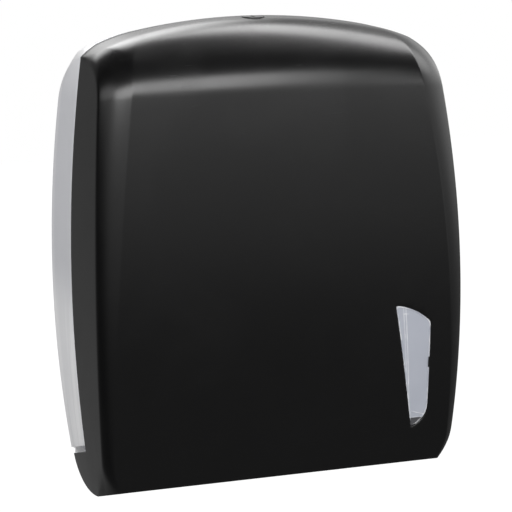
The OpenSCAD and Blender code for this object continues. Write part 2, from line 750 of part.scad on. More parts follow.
// Everything behind the front's curve, inset by t
module behind_front(t) {
    bar_x(0, body_d - front_r, front_full_h, front_r - t, win_right + over, $fn = 200);
}
stud_x = [win_left - (stud_h - win_low_h) * tan(win_lean) - lens_flange / 2, win_right + lens_flange / 2];
clip_back = front_depth(stud_h) - cover_t - lens_gap - lens_t - clip_gap - clip_t;
stud_back = clip_back - stud_proud;

module cover_skin() {
    difference() {
        shell([for (i = [0 : rows]) full_row(half_row(i, 0))],
            [for (i = [0 : rows]) full_row(half_row(i, cover_t))]);
        window_prism(0, body_d - over, body_d + over);
        bar_down(0, lock_d, crown_z + over, face_r + face_gap, over + lock_drop);
        // The lower edge stands a little higher between its two feet
        block([-lip_w / 2, lip_w / 2], [front_depth(0) - over, front_depth(0) + over], [-over, lip_rise]);
    }
}
module front_cover() {
    color([0.13, 0.13, 0.14]) difference() {
        union() {
            cover_skin();
            // Turned-in lower edge
            block([-lip_w / 2, lip_w / 2], [front_depth(0) - lip_d, front_depth(0) - cover_t + weld],
                [lip_rise, lip_rise + lip_t]);
            // Hinge bosses
            both_sides() bar_x(boss_x, hinge_d, hinge_z, boss_r, boss_end - boss_x);
            // Bosses for the lock body
            for (x = [-1, 1])
                bar_down(x * lock_screw_x, lock_d, lock_boss_top, screw_boss_r, lock_boss_top - lock_top);
            // Studs for the pane
            for (x = stud_x)
                bar_d(x, stud_back, stud_h, stud_r, front_depth(stud_h) - cover_t + weld - stud_back);
        }
        both_sides() bar_x(boss_x - over, hinge_d, hinge_z, pin_r, pin_x + pin_len - boss_x + over);
        for (x = [-1, 1]) bar_down(x * lock_screw_x, lock_d, lock_top + screw_bite, screw_r, screw_bite);
    }
}

module window_lens() {
    color([0.8, 0.84, 0.88, 0.5]) difference() {
        union() {
            intersection() {
                window_prism(-lens_clear, body_d - over, body_d + over);
                behind_front(lens_sunk);
            }
            intersection() {
                window_prism(lens_flange, body_d - over, body_d + over);
                behind_front(cover_t + lens_gap);
            }
        }
        behind_front(cover_t + lens_gap + lens_t);
        for (x = stud_x) bar_d(x, body_d - over, stud_h, stud_r + lens_gap, over);
    }
}

module lens_clips() {
    color("silver") for (x = stud_x) difference() {
        bar_d(x, clip_back, stud_h, clip_r, clip_t);
        bar_d(x, clip_back - over, stud_h, stud_r, 2 * over);
    }
}

module lock_body() {
    color([0.2, 0.2, 0.21]) difference() {
        block([-lock_body_w / 2, lock_body_w / 2], [lock_d - lock_body_d / 2, lock_d + lock_body_d / 2],
            [lock_low, lock_top]);
        bar_down(0, lock_d, lock_top + over, stem_r + stem_clear, lock_body_h + 2 * over);
        bar_down(0, lock_d, cam_top + cam_float, cam_r + cam_gap, cam_t + over);
        for (x = [-1, 1]) {
            bar_down(x * lock_screw_x, lock_d, lock_top + over, screw_r + screw_clear,
                lock_body_h + 2 * over);
            bar_down(x * lock_screw_x, lock_d, lock_top - screw_len + screw_bite,
                head_r + head_clear, over);
        }
        for (x = [-1, 1])
            bar_down(x * keeper_screw_x, lock_d, lock_low + screw_len, screw_r, screw_len + over);
    }
}

module lock_screws() {
    color("silver") for (x = [-1, 1])
        at(x * lock_screw_x, lock_d, lock_top - screw_len + screw_bite) screw();
}

module lock_barrel() {
    face_top = crown_z + face_rise;
    color([0.1, 0.1, 0.11]) difference() {
        union() {
            bar_down(0, lock_d, face_top, face_r, lock_drop + face_rise - cam_float);
            bar_down(0, lock_d, lock_top + weld, stem_r, lock_top + weld - cam_top);
        }
        // Key slot
        block([-key_w / 2, key_w / 2], [lock_d - key_len / 2, lock_d + key_len / 2],
            [face_top - key_deep, face_top + over]);
        bar_down(0, lock_d, cam_top + screw_len, screw_r, screw_len + over);
    }
}

module lock_cam() {
    color([0.75, 0.76, 0.78]) difference() {
        union() {
            bar_down(0, lock_d, cam_top, cam_r, cam_t);
            at(0, lock_d, cam_top - cam_t - bolt_t) rotate(45) translate([crank_r, 0, 0])
                cylinder(r = crank_pin_r, h = bolt_t + weld);
        }
        bar_down(0, lock_d, cam_top + over, screw_r + screw_clear, 2 * over);
        bar_down(0, lock_d, cam_seat, head_r + head_clear, over);
    }
}

module cam_screw() {
    color("silver") at(0, lock_d, cam_seat) screw();
}

module latch_bolt() {
    mid = bolt_throw / 2;
    arm_x = mid + bolt_half - arm_w;
    tooth_front = catch_d - catch_t - catch_gap;
    color([0.75, 0.76, 0.78]) difference() {
        union() {
            block([mid - bolt_half, mid + bolt_half], [lock_d - bolt_w / 2, lock_d + bolt_w / 2],
                [bolt_low, bolt_top]);
            block([arm_x, arm_x + arm_w], [tooth_front - tooth_d, lock_d], [bolt_low, bolt_top]);
            block([arm_x - tooth_w, arm_x + weld], [tooth_front - tooth_d, tooth_front],
                [bolt_low, bolt_top]);
        }
        // Cross slot for the crank pin
        block([mid - crank_pin_r - bolt_clear, mid + crank_pin_r + bolt_clear],
            [lock_d - crank_r - crank_pin_r - bolt_clear,
             lock_d - crank_r * cos(45) + crank_pin_r + bolt_clear],
            [bolt_low - over, bolt_top + over]);
        // Pocket for the spring
        bar_x(spring_end - spring_len, lock_d + spring_off, bolt_mid,
            spring_r + spring_wire + bolt_clear, over);
    }
}

module latch_keeper() {
    half = lock_body_w / 2;
    front = lock_d + lock_body_d / 2;
    rear = lock_d - lock_body_d / 2;
    color([0.25, 0.25, 0.26]) difference() {
        union() {
            block([-half, half], [rear, front], [keeper_top - keeper_t, keeper_top]);
            block([-half, half], [lock_d + bolt_w / 2 + bolt_clear, front], [keeper_top - weld, lock_low]);
            block([-half, 0], [rear, lock_d - bolt_w / 2 - bolt_clear], [keeper_top - weld, lock_low]);
            both_sides() block([half - keeper_end, half], [rear, front], [keeper_top - weld, lock_low]);
        }
        for (x = [-1, 1])
            bar_down(x * keeper_screw_x, lock_d, lock_low + over, screw_r + screw_clear, 2 * over);
    }
}

module keeper_screws() {
    color("silver") for (x = [-1, 1])
        at(x * keeper_screw_x, lock_d, keeper_top - keeper_t) screw();
}

// One unbroken wire wound along x, in rings of points
function coil_ring(u) =
    let (a = 360 * spring_turns * u, out = [0, cos(a), sin(a)], step = 360 / wire_sides)
    [for (k = [0 : wire_sides - 1]) [seat + (spring_len - 2 * seat) * u, 0, 0] + spring_r * out
        + spring_wire * (cos(step * k) * out + sin(step * k) * [1, 0, 0])];
module latch_spring() {
    w = wire_sides;
    n = spring_turns * turn_rings;
    rings = [for (i = [0 : n]) coil_ring(i / n)];
    quads = [for (i = [0 : n - 1], k = [0 : w - 1]) let (m = (k + 1) % w)
        [i * w + k, (i + 1) * w + k, (i + 1) * w + m, i * w + m]];
    sides = [for (q = quads) each [[q[0], q[1], q[2]], [q[0], q[2], q[3]]]];
    caps = [for (k = [1 : w - 2]) each [[0, k, k + 1], [n * w, n * w + k + 1, n * w + k]]];
    echo(spring_gap = min(
        [for (i = [0 : n - turn_rings], p = rings[i], q = rings[i + turn_rings]) norm(p - q)]));
    color("silver") at(spring_end - spring_len, lock_d + spring_off, bolt_mid)
        polyhedron(points = [for (r = rings) each r], faces = concat(sides, caps), convexity = 10);
}

rear_housing();
towel_tray();
exit_throat();
tray_screws();
catch_plate();
catch_screws();
hinge_bush_left();
hinge_bush_right();
front_cover();
window_lens();
lens_clips();
hinge_pin_left();
hinge_pin_right();
lock_body();
lock_screws();
latch_keeper();
keeper_screws();
lock_barrel();
lock_cam();
cam_screw();
latch_bolt();
latch_spring();
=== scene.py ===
import json
import math
import bpy
import bmesh
from mathutils import Matrix, Vector


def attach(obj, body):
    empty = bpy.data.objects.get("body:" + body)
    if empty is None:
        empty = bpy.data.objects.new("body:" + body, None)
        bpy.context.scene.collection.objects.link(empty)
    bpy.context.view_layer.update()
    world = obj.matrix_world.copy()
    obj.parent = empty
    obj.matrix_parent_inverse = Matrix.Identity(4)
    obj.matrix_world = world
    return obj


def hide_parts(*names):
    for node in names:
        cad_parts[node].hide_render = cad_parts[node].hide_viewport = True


# Folded towel dispenser: looks for the hinged cover, the wall housing and what they hold.
# Sizes are millimetres: x from the middle, d forward from the wall, z above the front's lower edge.
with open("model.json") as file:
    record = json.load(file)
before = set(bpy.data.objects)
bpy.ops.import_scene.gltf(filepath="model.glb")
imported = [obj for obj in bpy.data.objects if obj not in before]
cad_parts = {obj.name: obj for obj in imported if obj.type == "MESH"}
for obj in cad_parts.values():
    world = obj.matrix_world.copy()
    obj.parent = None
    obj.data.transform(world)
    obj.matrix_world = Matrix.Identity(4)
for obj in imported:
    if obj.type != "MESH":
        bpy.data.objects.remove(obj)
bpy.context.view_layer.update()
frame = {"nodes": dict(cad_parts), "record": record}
nodes = frame["nodes"]
scene = bpy.context.scene
scene.view_settings.view_transform = "Standard"
mm = 0.001
holesH = 160.0  # the wall holes' middle, which is the frame's origin


def spot(x, d, z):
    return Vector((x, -d, z - holesH)) * mm


def mix(a, b, t):
    return a + (b - a) * t


def ease(f):
    f = min(max(f, 0.0), 1.0)
    return f * f * (3 - 2 * f)


# Camera, where the photograph was taken from
shot = dict(place=(-0.5637, -1.56723, 0.32519), tilt=78.345, turn=-20.62, lens=151.955, sensor=36.0)


def setCamera():
    data = bpy.data.cameras.new("shotCamera")
    data.lens = shot["lens"]
    data.sensor_width = shot["sensor"]
    camera = bpy.data.objects.new("shotCamera", data)
    scene.collection.objects.link(camera)
    camera.location = shot["place"]
    camera.rotation_euler = (math.radians(shot["tilt"]), 0, math.radians(shot["turn"]))
    scene.camera = camera


setCamera()
print("camera set")

# Studio: white backdrop, dim surroundings with a dark flag on the left and soft patches, three soft boxes
studio = dict(
    ambient=0.62,
    floorZ=-1.1, floorHalf=7.0, floorTone=0.8, floorWhite=0.6, floorGlow=1.4,
    # the flag: the way to it, its edge, its tone in front and at the back, where one turns into the other
    flagSide=(-0.866, 0.5, 0.0), flagFrom=0.30, flagTo=0.60, flagTone=0.03, flagBack=0.16,
    flagRear=(0.2, 0.85),
    # brightness of the surroundings by the sine of the elevation
    glow=[(-0.5, 0.14), (-0.3, 0.145), (-0.19, 0.18), (-0.1, 0.31), (-0.05, 0.39), (0.05, 0.5), (0.14, 0.6),
          (0.19, 0.72), (0.26, 0.92), (0.36, 0.5), (0.5, 0.06), (1.0, 0.05)],
    # soft patches: where they lie, the angles of their edge and of full light, their brightness
    patches=dict(rear=dict(az=-176, el=28, edge=16, full=4, tone=2.7),
                 rearMid=dict(az=168.3, el=29, edge=12.3, full=5, tone=3.3),
                 rearTop=dict(az=168, el=42.3, edge=12.6, full=5, tone=4.0),
                 rearLow=dict(az=176, el=17, edge=8, full=3, tone=0.9),
                 rightWall=dict(az=106, el=36, edge=46, full=10, tone=1.0),
                 rightPanel=dict(az=94, el=38, edge=21, full=2, tone=2.6),
                 rightFront=dict(az=52, el=0, edge=17, full=2, tone=0.28),
                 rightEdge=dict(az=124, el=6, edge=10, full=2, tone=1.2),
                 leftPanel=dict(az=-68, el=31, edge=16, full=3, tone=2.1),
                 leftFloor=dict(az=-115, el=-24, edge=45, full=10, tone=0.1)))
lampPower = 4.0  # for a lamp of one square metre and a glow of 1
lamps = dict(
    topBox=dict(place=(0.718, 0.353, 1.375), size=(1.36, 0.36), along=(-0.45, 0.89, 0.0),
                face=(-0.45, -0.2, -1.0), glow=4.9),
    frontBox=dict(place=(-0.27, -1.2, 0.92), size=(1.86, 0.48), along=(1.0, 0.0, -0.10),
                  face=(0.33, 1.1, -0.86), glow=5.9),
    frontTail=dict(place=(0.88, -1.2, 0.59), size=(0.44, 0.22), along=(1.0, 0.0, -0.10),
                   face=(-0.6, 1.1, -0.86), glow=1.9))


class Tree:
    # A short way to write node trees: add a node, set its inputs, link what is a socket
    def __init__(self, tree):
        self.tree = tree

    def link(self, source, target):
        self.tree.links.new(source, target)

    def feed(self, socket, value):
        if isinstance(value, bpy.types.NodeSocket):
            self.link(value, socket)
        else:
            socket.default_value = value

    def add(self, kind, inputs=None, **settings):
        node = self.tree.nodes.new(kind)
        for name, value in settings.items():
            setattr(node, name, value)
        for name, value in (inputs or {}).items():
            self.feed(node.inputs[name], value)
        return node

    def math(self, operation, a, b=0.0):
        return self.add("ShaderNodeMath", {0: a, 1: b}, operation=operation).outputs[0]

    def plus(self, a, b):
        return self.math("ADD", a, b)

    def times(self, a, b):
        return self.math("MULTIPLY", a, b)

    def dot(self, a, b):
        return self.add("ShaderNodeVectorMath", {0: a, 1: b}, operation="DOT_PRODUCT").outputs["Value"]

    def between(self, value, low, high, toLow=0.0, toHigh=1.0, soft=True):
        node = self.add("ShaderNodeMapRange", {"Value": value, "From Min": low, "From Max": high,
                                               "To Min": toLow, "To Max": toHigh})
        node.interpolation_type = "SMOOTHSTEP" if soft else "LINEAR"
        return node.outputs["Result"]

    def blend(self, factor, a, b):
        node = self.add("ShaderNodeMix", data_type="RGBA")
        for name, value in (("Factor_Float", factor), ("A_Color", a), ("B_Color", b)):
            self.feed(next(s for s in node.inputs if s.identifier == name), value)
        return next(s for s in node.outputs if s.identifier == "Result_Color")

    def split(self, vector):
        return self.add("ShaderNodeSeparateXYZ", {"Vector": vector}).outputs

    def here(self):
        return self.add("ShaderNodeTexCoord").outputs["Object"]

    def facing(self):
        return self.split(self.add("ShaderNodeNewGeometry").outputs["Normal"])

    def stretch(self, where, scale, turn=(0.0, 0.0, 0.0)):
        inputs = {"Vector": where, "Rotation": turn, "Scale": scale}
        return self.add("ShaderNodeMapping", inputs).outputs[0]

    def noise(self, where, scale, detail, **more):
        inputs = {"Vector": where, "Scale": scale, "Detail": detail, **more}
        return self.add("ShaderNodeTexNoise", inputs).outputs[0]

    def bump(self, height, strength, depth):
        inputs = {"Strength": strength, "Distance": depth, "Height": height}
        return self.add("ShaderNodeBump", inputs).outputs[0]

    # Rays to which the backdrop is plain white: from the camera, and on through clear plastic
    def openRay(self, rays):
        return self.math("MAXIMUM", rays["Is Camera Ray"], rays["Is Transmission Ray"])


def grey(v):
    return (v, v, v, 1.0)


def setWorld():
    world = bpy.data.worlds.new("studio")
    world.use_nodes = True
    world.cycles.sampling_method = "NONE"
    world.node_tree.nodes.clear()
    t = Tree(world.node_tree)
    way = t.add("ShaderNodeTexCoord").outputs["Generated"]
    height = t.split(way)["Z"]
    ramp = t.add("ShaderNodeValToRGB", {"Fac": t.between(height, -1.0, 1.0, soft=False)})
    stops = ramp.color_ramp.elements
    while len(stops) < len(studio["glow"]):
        stops.new(0.5)  # moved below
    for stop, (sine, tone) in zip(stops, studio["glow"]):
        stop.position = (sine + 1) / 2
        stop.color = grey(tone)
    flag = t.between(t.dot(way, studio["flagSide"]), studio["flagFrom"], studio["flagTo"])
    rear = t.between(t.split(way)["Y"], *studio["flagRear"])
    dark = t.blend(rear, grey(studio["flagTone"]), grey(studio["flagBack"]))
    around = t.blend(flag, ramp.outputs["Color"], dark)
    for spec in studio["patches"].values():
        az, el = math.radians(spec["az"]), math.radians(spec["el"])
        aim = (math.cos(el) * math.sin(az), -math.cos(el) * math.cos(az), math.sin(el))
        edge, full = (math.cos(math.radians(spec[k])) for k in ("edge", "full"))
        share = t.between(t.dot(way, aim), edge, full, 0.0, spec["tone"])
        around = t.add("ShaderNodeVectorMath", {0: around, 1: share}, operation="ADD").outputs[0]
    rays = t.add("ShaderNodeLightPath").outputs
    dim = t.add("ShaderNodeBackground", {"Color": grey(1.0), "Strength": studio["ambient"]})
    seen = t.add("ShaderNodeBackground", {"Color": around, "Strength": 1.0})
    white = t.add("ShaderNodeBackground", {"Color": grey(1.0), "Strength": 1.0})
    glossy = t.add("ShaderNodeMixShader", {0: rays["Is Glossy Ray"], 1: dim.outputs[0], 2: seen.outputs[0]})
    last = t.add("ShaderNodeMixShader", {0: t.openRay(rays), 1: glossy.outputs[0], 2: white.outputs[0]})
    t.add("ShaderNodeOutputWorld", {"Surface": last.outputs[0]})
    scene.world = world


def setLamps():
    for name, spec in lamps.items():
        data = bpy.data.lights.new(name, "AREA")
        data.shape = "RECTANGLE"
        data.size, data.size_y = spec["size"]
        data.energy = lampPower * data.size * data.size_y * spec["glow"]
        lamp = bpy.data.objects.new(name, data)
        scene.collection.objects.link(lamp)
        back = -Vector(spec["face"]).normalized()
        run = Vector(spec["along"])
        run = (run - back * run.dot(back)).normalized()
        turned = Matrix((run, back.cross(run), back)).transposed()
        lamp.matrix_world = Matrix.Translation(spec["place"]) @ turned.to_4x4()
        lamp.visible_camera = False


def setFloor():
    h = studio["floorHalf"]
    mesh = bpy.data.meshes.new("floor")
    mesh.from_pydata([(-h, -h, 0), (h, -h, 0), (h, h, 0), (-h, h, 0)], [], [(0, 1, 2, 3)])
    floor = bpy.data.objects.new("floor", mesh)
    scene.collection.objects.link(floor)
    floor.location.z = studio["floorZ"]
    floor.visible_glossy = False
    material = bpy.data.materials.new("paleFloor")
    material.use_nodes = True
    material.node_tree.nodes.clear()
    t = Tree(material.node_tree)
    rays = t.add("ShaderNodeLightPath").outputs
    share = t.times(t.openRay(rays), studio["floorWhite"])
    matt = t.add("ShaderNodeBsdfDiffuse", {"Color": grey(studio["floorTone"])})
    white = t.add("ShaderNodeEmission", {"Color": grey(1.0), "Strength": studio["floorGlow"]})
    last = t.add("ShaderNodeMixShader", {0: share, 1: matt.outputs[0], 2: white.outputs[0]})
    t.add("ShaderNodeOutputMaterial", {"Surface": last.outputs[0]})
    mesh.materials.append(material)


setWorld()
setLamps()
setFloor()
print("studio set")


# Surface effects that several finishes share, as node groups
effects = dict(
    fineShare=0.4, waveShare=0.6,  # parts of the grain
    smudge=(0.38, 0.72), scratch=(0.70, 0.76),
    scratchTurn=(0.4, 0.9, 0.3), scratchStretch=(1.0, 22.0, 22.0),
    wornScale=120.0, worn=(0.4, 0.65),
    dustUp=(0.55, 1.0), dustSpecks=(0.5, 0.75))


def newGroup(name, ins, outs):
    group = bpy.data.node_groups.new(name, "ShaderNodeTree")
    for label, value in ins:
        socket = group.interface.new_socket(label, in_out="INPUT", socket_type="NodeSocketFloat")
        socket.default_value = value
    for label in outs:
        group.interface.new_socket(label, in_out="OUTPUT", socket_type="NodeSocketFloat")
    t = Tree(group)
    return group, t, t.add("NodeGroupInput").outputs, t.add("NodeGroupOutput").inputs


def makeGrain():
    group, t, ins, outs = newGroup("mouldGrain", [("Scale", 900.0), ("Wave", 60.0)], ["Height", "Tone"])
    where = t.here()
    fine = t.noise(where, ins["Scale"], detail=3.0)
    wave = t.noise(where, ins["Wave"], detail=2.0)
    height = t.plus(t.times(fine, effects["fineShare"]), t.times(wave, effects["waveShare"]))
    t.link(height, outs["Height"])
    t.link(wave, outs["Tone"])
    return group


def makeMarks():
    scales = [("Smudge Scale", 14.0), ("Scratch Scale", 55.0)]
    group, t, ins, outs = newGroup("handMarks", scales, ["Smudge", "Scratch"])
    where = t.here()
    smudge = t.noise(where, ins["Smudge Scale"], detail=5.0, Roughness=0.6, Distortion=0.7)
    t.link(t.between(smudge, *effects["smudge"]), outs["Smudge"])
    thin = t.stretch(where, effects["scratchStretch"], effects["scratchTurn"])
    line = t.noise(thin, ins["Scratch Scale"], detail=2.0)
    t.link(t.between(line, *effects["scratch"]), outs["Scratch"])
    return group


# Mask of sharp edges: real wear on most finishes, painted highlights along the pane's edges
def makeWearAndGlint():
    group, t, ins, outs = newGroup("edgeWearAndGlint", [("From", 0.515), ("To", 0.58)], ["Mask"])
    sharp = t.add("ShaderNodeNewGeometry").outputs["Pointiness"]
    patch = t.noise(t.here(), effects["wornScale"], detail=4.0)
    edge = t.between(sharp, ins["From"], ins["To"], soft=False)
    t.link(t.times(edge, t.between(patch, *effects["worn"])), outs["Mask"])
    return group


def makeDust():
    group, t, ins, outs = newGroup("restingDust", [("Scale", 160.0)], ["Mask"])
    up = t.between(t.facing()["Z"], *effects["dustUp"])
    specks = t.noise(t.here(), ins["Scale"], detail=6.0, Roughness=0.7)
    t.link(t.times(up, t.between(specks, *effects["dustSpecks"])), outs["Mask"])
    return group


grain, marks, wearAndGlint, dust = makeGrain(), makeMarks(), makeWearAndGlint(), makeDust()


def newMaterial(name):
    material = bpy.data.materials.new(name)
    material.use_nodes = True
    material.node_tree.nodes.clear()
    t = Tree(material.node_tree)
    shader = t.add("ShaderNodeBsdfPrincipled")
    t.add("ShaderNodeOutputMaterial", {"Surface": shader.outputs[0]})
    return material, t, shader


def useGroup(t, group, **values):
    inputs = {k.replace("_", " "): v for k, v in values.items()}
    return t.add("ShaderNodeGroup", inputs, node_tree=group).outputs


def opaque(tone):
    return tuple(tone) + (1.0,)


dustTone = (0.5, 0.49, 0.47)
dustRough = 0.3  # gloss lost under full dust
softRadius = (0.004, 0.004, 0.004)  # how far light goes into a milky plastic


# A moulded plastic: its own tone with a slow drift, optional painted light, the tone of rubbed edges, dust
# on top, smudged gloss
def plastic(name, tone, rubbed, rough, smudge=0.05, bump=0.1, depth=0.00004, dustShare=0.06, wearShare=0.5,
            drift=0.12, soft=0.0, paintLight=None):
    material, t, shader = newMaterial(name)
    skin = useGroup(t, grain)
    hand = useGroup(t, marks)
    worn = t.times(useGroup(t, wearAndGlint)["Mask"], wearShare)
    specks = useGroup(t, dust)["Mask"]
    dark, light = (opaque(c * share for c in tone) for share in (1 - drift, 1 + drift))
    colour = t.blend(skin["Tone"], dark, light)
    # paintLight paints light and shade over the tone, as the housing's painted sheen and highlights
    if paintLight:
        colour = paintLight(t, colour)
    colour = t.blend(worn, colour, opaque(rubbed))
    colour = t.blend(t.times(specks, dustShare), colour, opaque(dustTone))
    t.link(colour, shader.inputs["Base Color"])
    gloss = t.plus(rough, t.times(hand["Smudge"], smudge))
    gloss = t.plus(gloss, t.times(hand["Scratch"], smudge))
    gloss = t.plus(gloss, t.times(specks, dustRough * dustShare))
    t.link(gloss, shader.inputs["Roughness"])
    t.link(t.bump(skin["Height"], bump, depth), shader.inputs["Normal"])
    shader.inputs["Subsurface Weight"].default_value = soft
    shader.inputs["Subsurface Radius"].default_value = softRadius
    shader.inputs["Subsurface Scale"].default_value = 1.0
    return material


# Painted light on the housing and how much: places in metres, ways that a face looks, shares of the painted
# pale tone
sideLightPaint = dict(
    paintedPale=(0.95, 0.95, 0.965), grey=(0.60, 0.605, 0.63),
    low=(-0.07, 0.0), top=(0.11, 0.15), topShare=0.45, rim=(-0.010, -0.006), rimShare=0.22,
    foot=(-0.158, -0.150), sideways=(0.6, 0.9), backward=(0.4, 0.8), upward=(0.25, 0.6),
    level=(0.75, 0.95), levelShare=0.1,
    streak=(20.0, 120.0, 7.0), flow=(0.35, 0.65), streakShare=0.36)


# Painted light on the housing: a painted sheen low on its sides with upright flow streaks, painted
# highlights at its top and on faces that look up, painted light over its shaded foot, and a paler strip
# along its wall edge
def paintedSideLight(t, colour):
    s = sideLightPaint
    where = t.here()
    place, facing = t.split(where), t.facing()
    side = t.between(t.math("ABSOLUTE", facing["X"]), *s["sideways"])
    # low: a painted sheen, strongest low on the sides
    low = t.between(place["Z"], *s["low"], 1.0, 0.0)
    # top: a painted highlight near the top of the sides
    top = t.between(place["Z"], *s["top"], 0.0, s["topShare"])
    # rim: paler towards the wall edge
    rim = t.between(place["Y"], *s["rim"], 0.0, s["rimShare"])
    # foot: painted light over the foot, which lies in shade
    foot = t.between(place["Z"], *s["foot"], 1.0, 0.0)
    foot = t.times(foot, t.between(facing["Y"], *s["backward"], 1.0, 0.0))
    # above: a painted highlight on faces that look up, weaker on level tops
    above = t.between(facing["Z"], *s["upward"])
    above = t.times(above, t.between(facing["Z"], *s["level"], 1.0, s["levelShare"]))
    share = t.times(t.plus(t.plus(low, top), rim), side)
    share = t.math("MAXIMUM", t.math("MAXIMUM", share, foot), above)
    colour = t.blend(share, colour, opaque(s["paintedPale"]))
    flow = t.noise(t.stretch(where, s["streak"]), scale=1.0, detail=2.0)
    streak = t.times(t.between(flow, *s["flow"], 0.0, s["streakShare"]), t.times(low, side))
    return t.blend(streak, colour, opaque(s["grey"]))


# A plated or cast metal: its own tone, clouded, the tone of rubbed edges, fine scratches
def metal(name, tone, rubbed, rough, cloud=0.12, smudge=0.12, scratch=0.15, bump=0.15, depth=0.00003):
    material, t, shader = newMaterial(name)
    skin = useGroup(t, grain, Scale=1400.0, Wave=220.0)
    hand = useGroup(t, marks, Smudge_Scale=90.0, Scratch_Scale=160.0)
    edge = useGroup(t, wearAndGlint)
    dark, light = (opaque(c * share for c in tone) for share in (1 - cloud, 1 + cloud))
    colour = t.blend(hand["Smudge"], dark, light)
    t.link(t.blend(edge["Mask"], colour, opaque(rubbed)), shader.inputs["Base Color"])
    gloss = t.plus(rough, t.times(hand["Smudge"], smudge))
    t.link(t.plus(gloss, t.times(hand["Scratch"], scratch)), shader.inputs["Roughness"])
    t.link(t.bump(skin["Height"], bump, depth), shader.inputs["Normal"])
    shader.inputs["Metallic"].default_value = 1.0
    return material


finishes = dict(
    cover=plastic("blackSatinMoulding", (0.0022, 0.0022, 0.0023), (0.012, 0.012, 0.0125), rough=0.22,
                  smudge=0.05, bump=0.06, depth=0.00003, dustShare=0.02),
    housing=plastic("paleHousing", (0.615, 0.62, 0.65), (0.74, 0.74, 0.77), rough=0.34, smudge=0.03,
                    bump=0.035, drift=0.012, soft=0.25, dustShare=0.03, wearShare=0.1, paintLight=paintedSideLight),
    tray=plastic("palerTray", (0.62, 0.63, 0.66), (0.74, 0.75, 0.77), rough=0.38, smudge=0.03,
                 bump=0.05, drift=0.012, soft=0.15, dustShare=0.03, wearShare=0.1),
    throat=plastic("greyThroat", (0.36, 0.38, 0.41), (0.5, 0.52, 0.55), rough=0.30, drift=0.04),
    bush=plastic("naturalBush", (0.76, 0.73, 0.66), (0.82, 0.80, 0.74), rough=0.42, drift=0.04, soft=0.2),
    lock_case=plastic("mattBlackCase", (0.012, 0.012, 0.013), (0.05, 0.05, 0.052), rough=0.45, bump=0.3),
    lock_face=plastic("blackLockFace", (0.006, 0.006, 0.0065), (0.06, 0.06, 0.062), rough=0.30),
    zinc=metal("castZinc", (0.55, 0.56, 0.58), (0.72, 0.73, 0.75), rough=0.38, bump=0.3),
    steel=metal("platedSteel", (0.60, 0.60, 0.61), (0.78, 0.78, 0.79), rough=0.22))


# Pane tones: low and high drift at random; foot is a painted shade below the foot height; rim is the pale of
# the painted highlights along edges and ribs
paneTone = dict(low=(0.43, 0.45, 0.51), high=(0.48, 0.50, 0.56), foot=(0.085, 0.085, 0.092), shadeFootZ=-0.1252,
                shadeFootSoft=0.0002, rim=(0.80, 0.81, 0.84), lineCore=0.3, lineEdge=0.7, ribGlintShare=0.45,
                clear=0.25, rough=0.14, smudge=0.08, bump=0.06, depth=0.00003, ior=1.5)

# Two long ribs on the pane: their ends (x, z), width and rise
paneLines = [((94.1, 117.0), (98.9, 49.0), 0.9, 0.18), ((92.2, 117.2), (96.7, 59.0), 0.7, 0.14)]


# Frosted clear plastic: painted highlights along its edges and ribs, and a painted shade at the foot, where
# nothing pale is behind it
def makePaneFinish():
    p = paneTone
    material, t, shader = newMaterial("frostedPane")
    skin = useGroup(t, grain, Scale=700.0, Wave=45.0)
    hand = useGroup(t, marks, Smudge_Scale=22.0)
    edge = useGroup(t, wearAndGlint, From=0.50, To=0.53)
    place = t.split(t.here())
    colour = t.blend(skin["Tone"], opaque(p["low"]), opaque(p["high"]))
    # painted highlights along the ribs
    for start, end, width, _ in paneLines:
        a, b = (spot(x, 0, z) for x, z in (start, end))
        slope = (b.x - a.x) / (b.z - a.z)
        along = t.plus(t.times(place["Z"], slope), a.x - slope * a.z)
        off = t.math("ABSOLUTE", t.math("SUBTRACT", place["X"], along))
        line = t.between(off, p["lineCore"] * width * mm, p["lineEdge"] * width * mm, p["ribGlintShare"], 0.0)
        colour = t.blend(line, colour, opaque(p["rim"]))
    # painted shade at the foot
    foot = t.between(place["Z"], p["shadeFootZ"] - p["shadeFootSoft"], p["shadeFootZ"] + p["shadeFootSoft"], 1.0, 0.0)
    colour = t.blend(foot, colour, opaque(p["foot"]))
    # the pane's edges take a painted highlight in the pale rim tone
    t.link(t.blend(edge["Mask"], colour, opaque(p["rim"])), shader.inputs["Base Color"])
    t.link(t.plus(p["rough"], t.times(hand["Smudge"], p["smudge"])), shader.inputs["Roughness"])
    t.link(t.bump(skin["Height"], p["bump"], p["depth"]), shader.inputs["Normal"])
    shader.inputs["Transmission Weight"].default_value = p["clear"]
    shader.inputs["IOR"].default_value = p["ior"]
    return material


finishes["lens"] = makePaneFinish()
print("finishes made")


# Mesh helpers
def newObject(name, points, faces):
    mesh = bpy.data.meshes.new(name)
    mesh.from_pydata([tuple(p) for p in points], [], faces)
    obj = bpy.data.objects.new(name, mesh)
    scene.collection.objects.link(obj)
    return obj


def outward(obj):
    work = bmesh.new()
    work.from_mesh(obj.data)
    bmesh.ops.recalc_face_normals(work, faces=work.faces)
    work.to_mesh(obj.data)
    work.free()
    return obj


def roundEdges(obj, width, angle=35.0, steps=2):
    work = bmesh.new()
    work.from_mesh(obj.data)
    bmesh.ops.recalc_face_normals(work, faces=work.faces)
    sharp = [e for e in work.edges if e.is_manifold and e.calc_face_angle() > math.radians(angle)]
    bmesh.ops.bevel(work, geom=sharp, offset=width * mm, segments=steps, profile=0.5, affect="EDGES",
                    clamp_overlap=True)
    work.to_mesh(obj.data)
    work.free()
    return obj


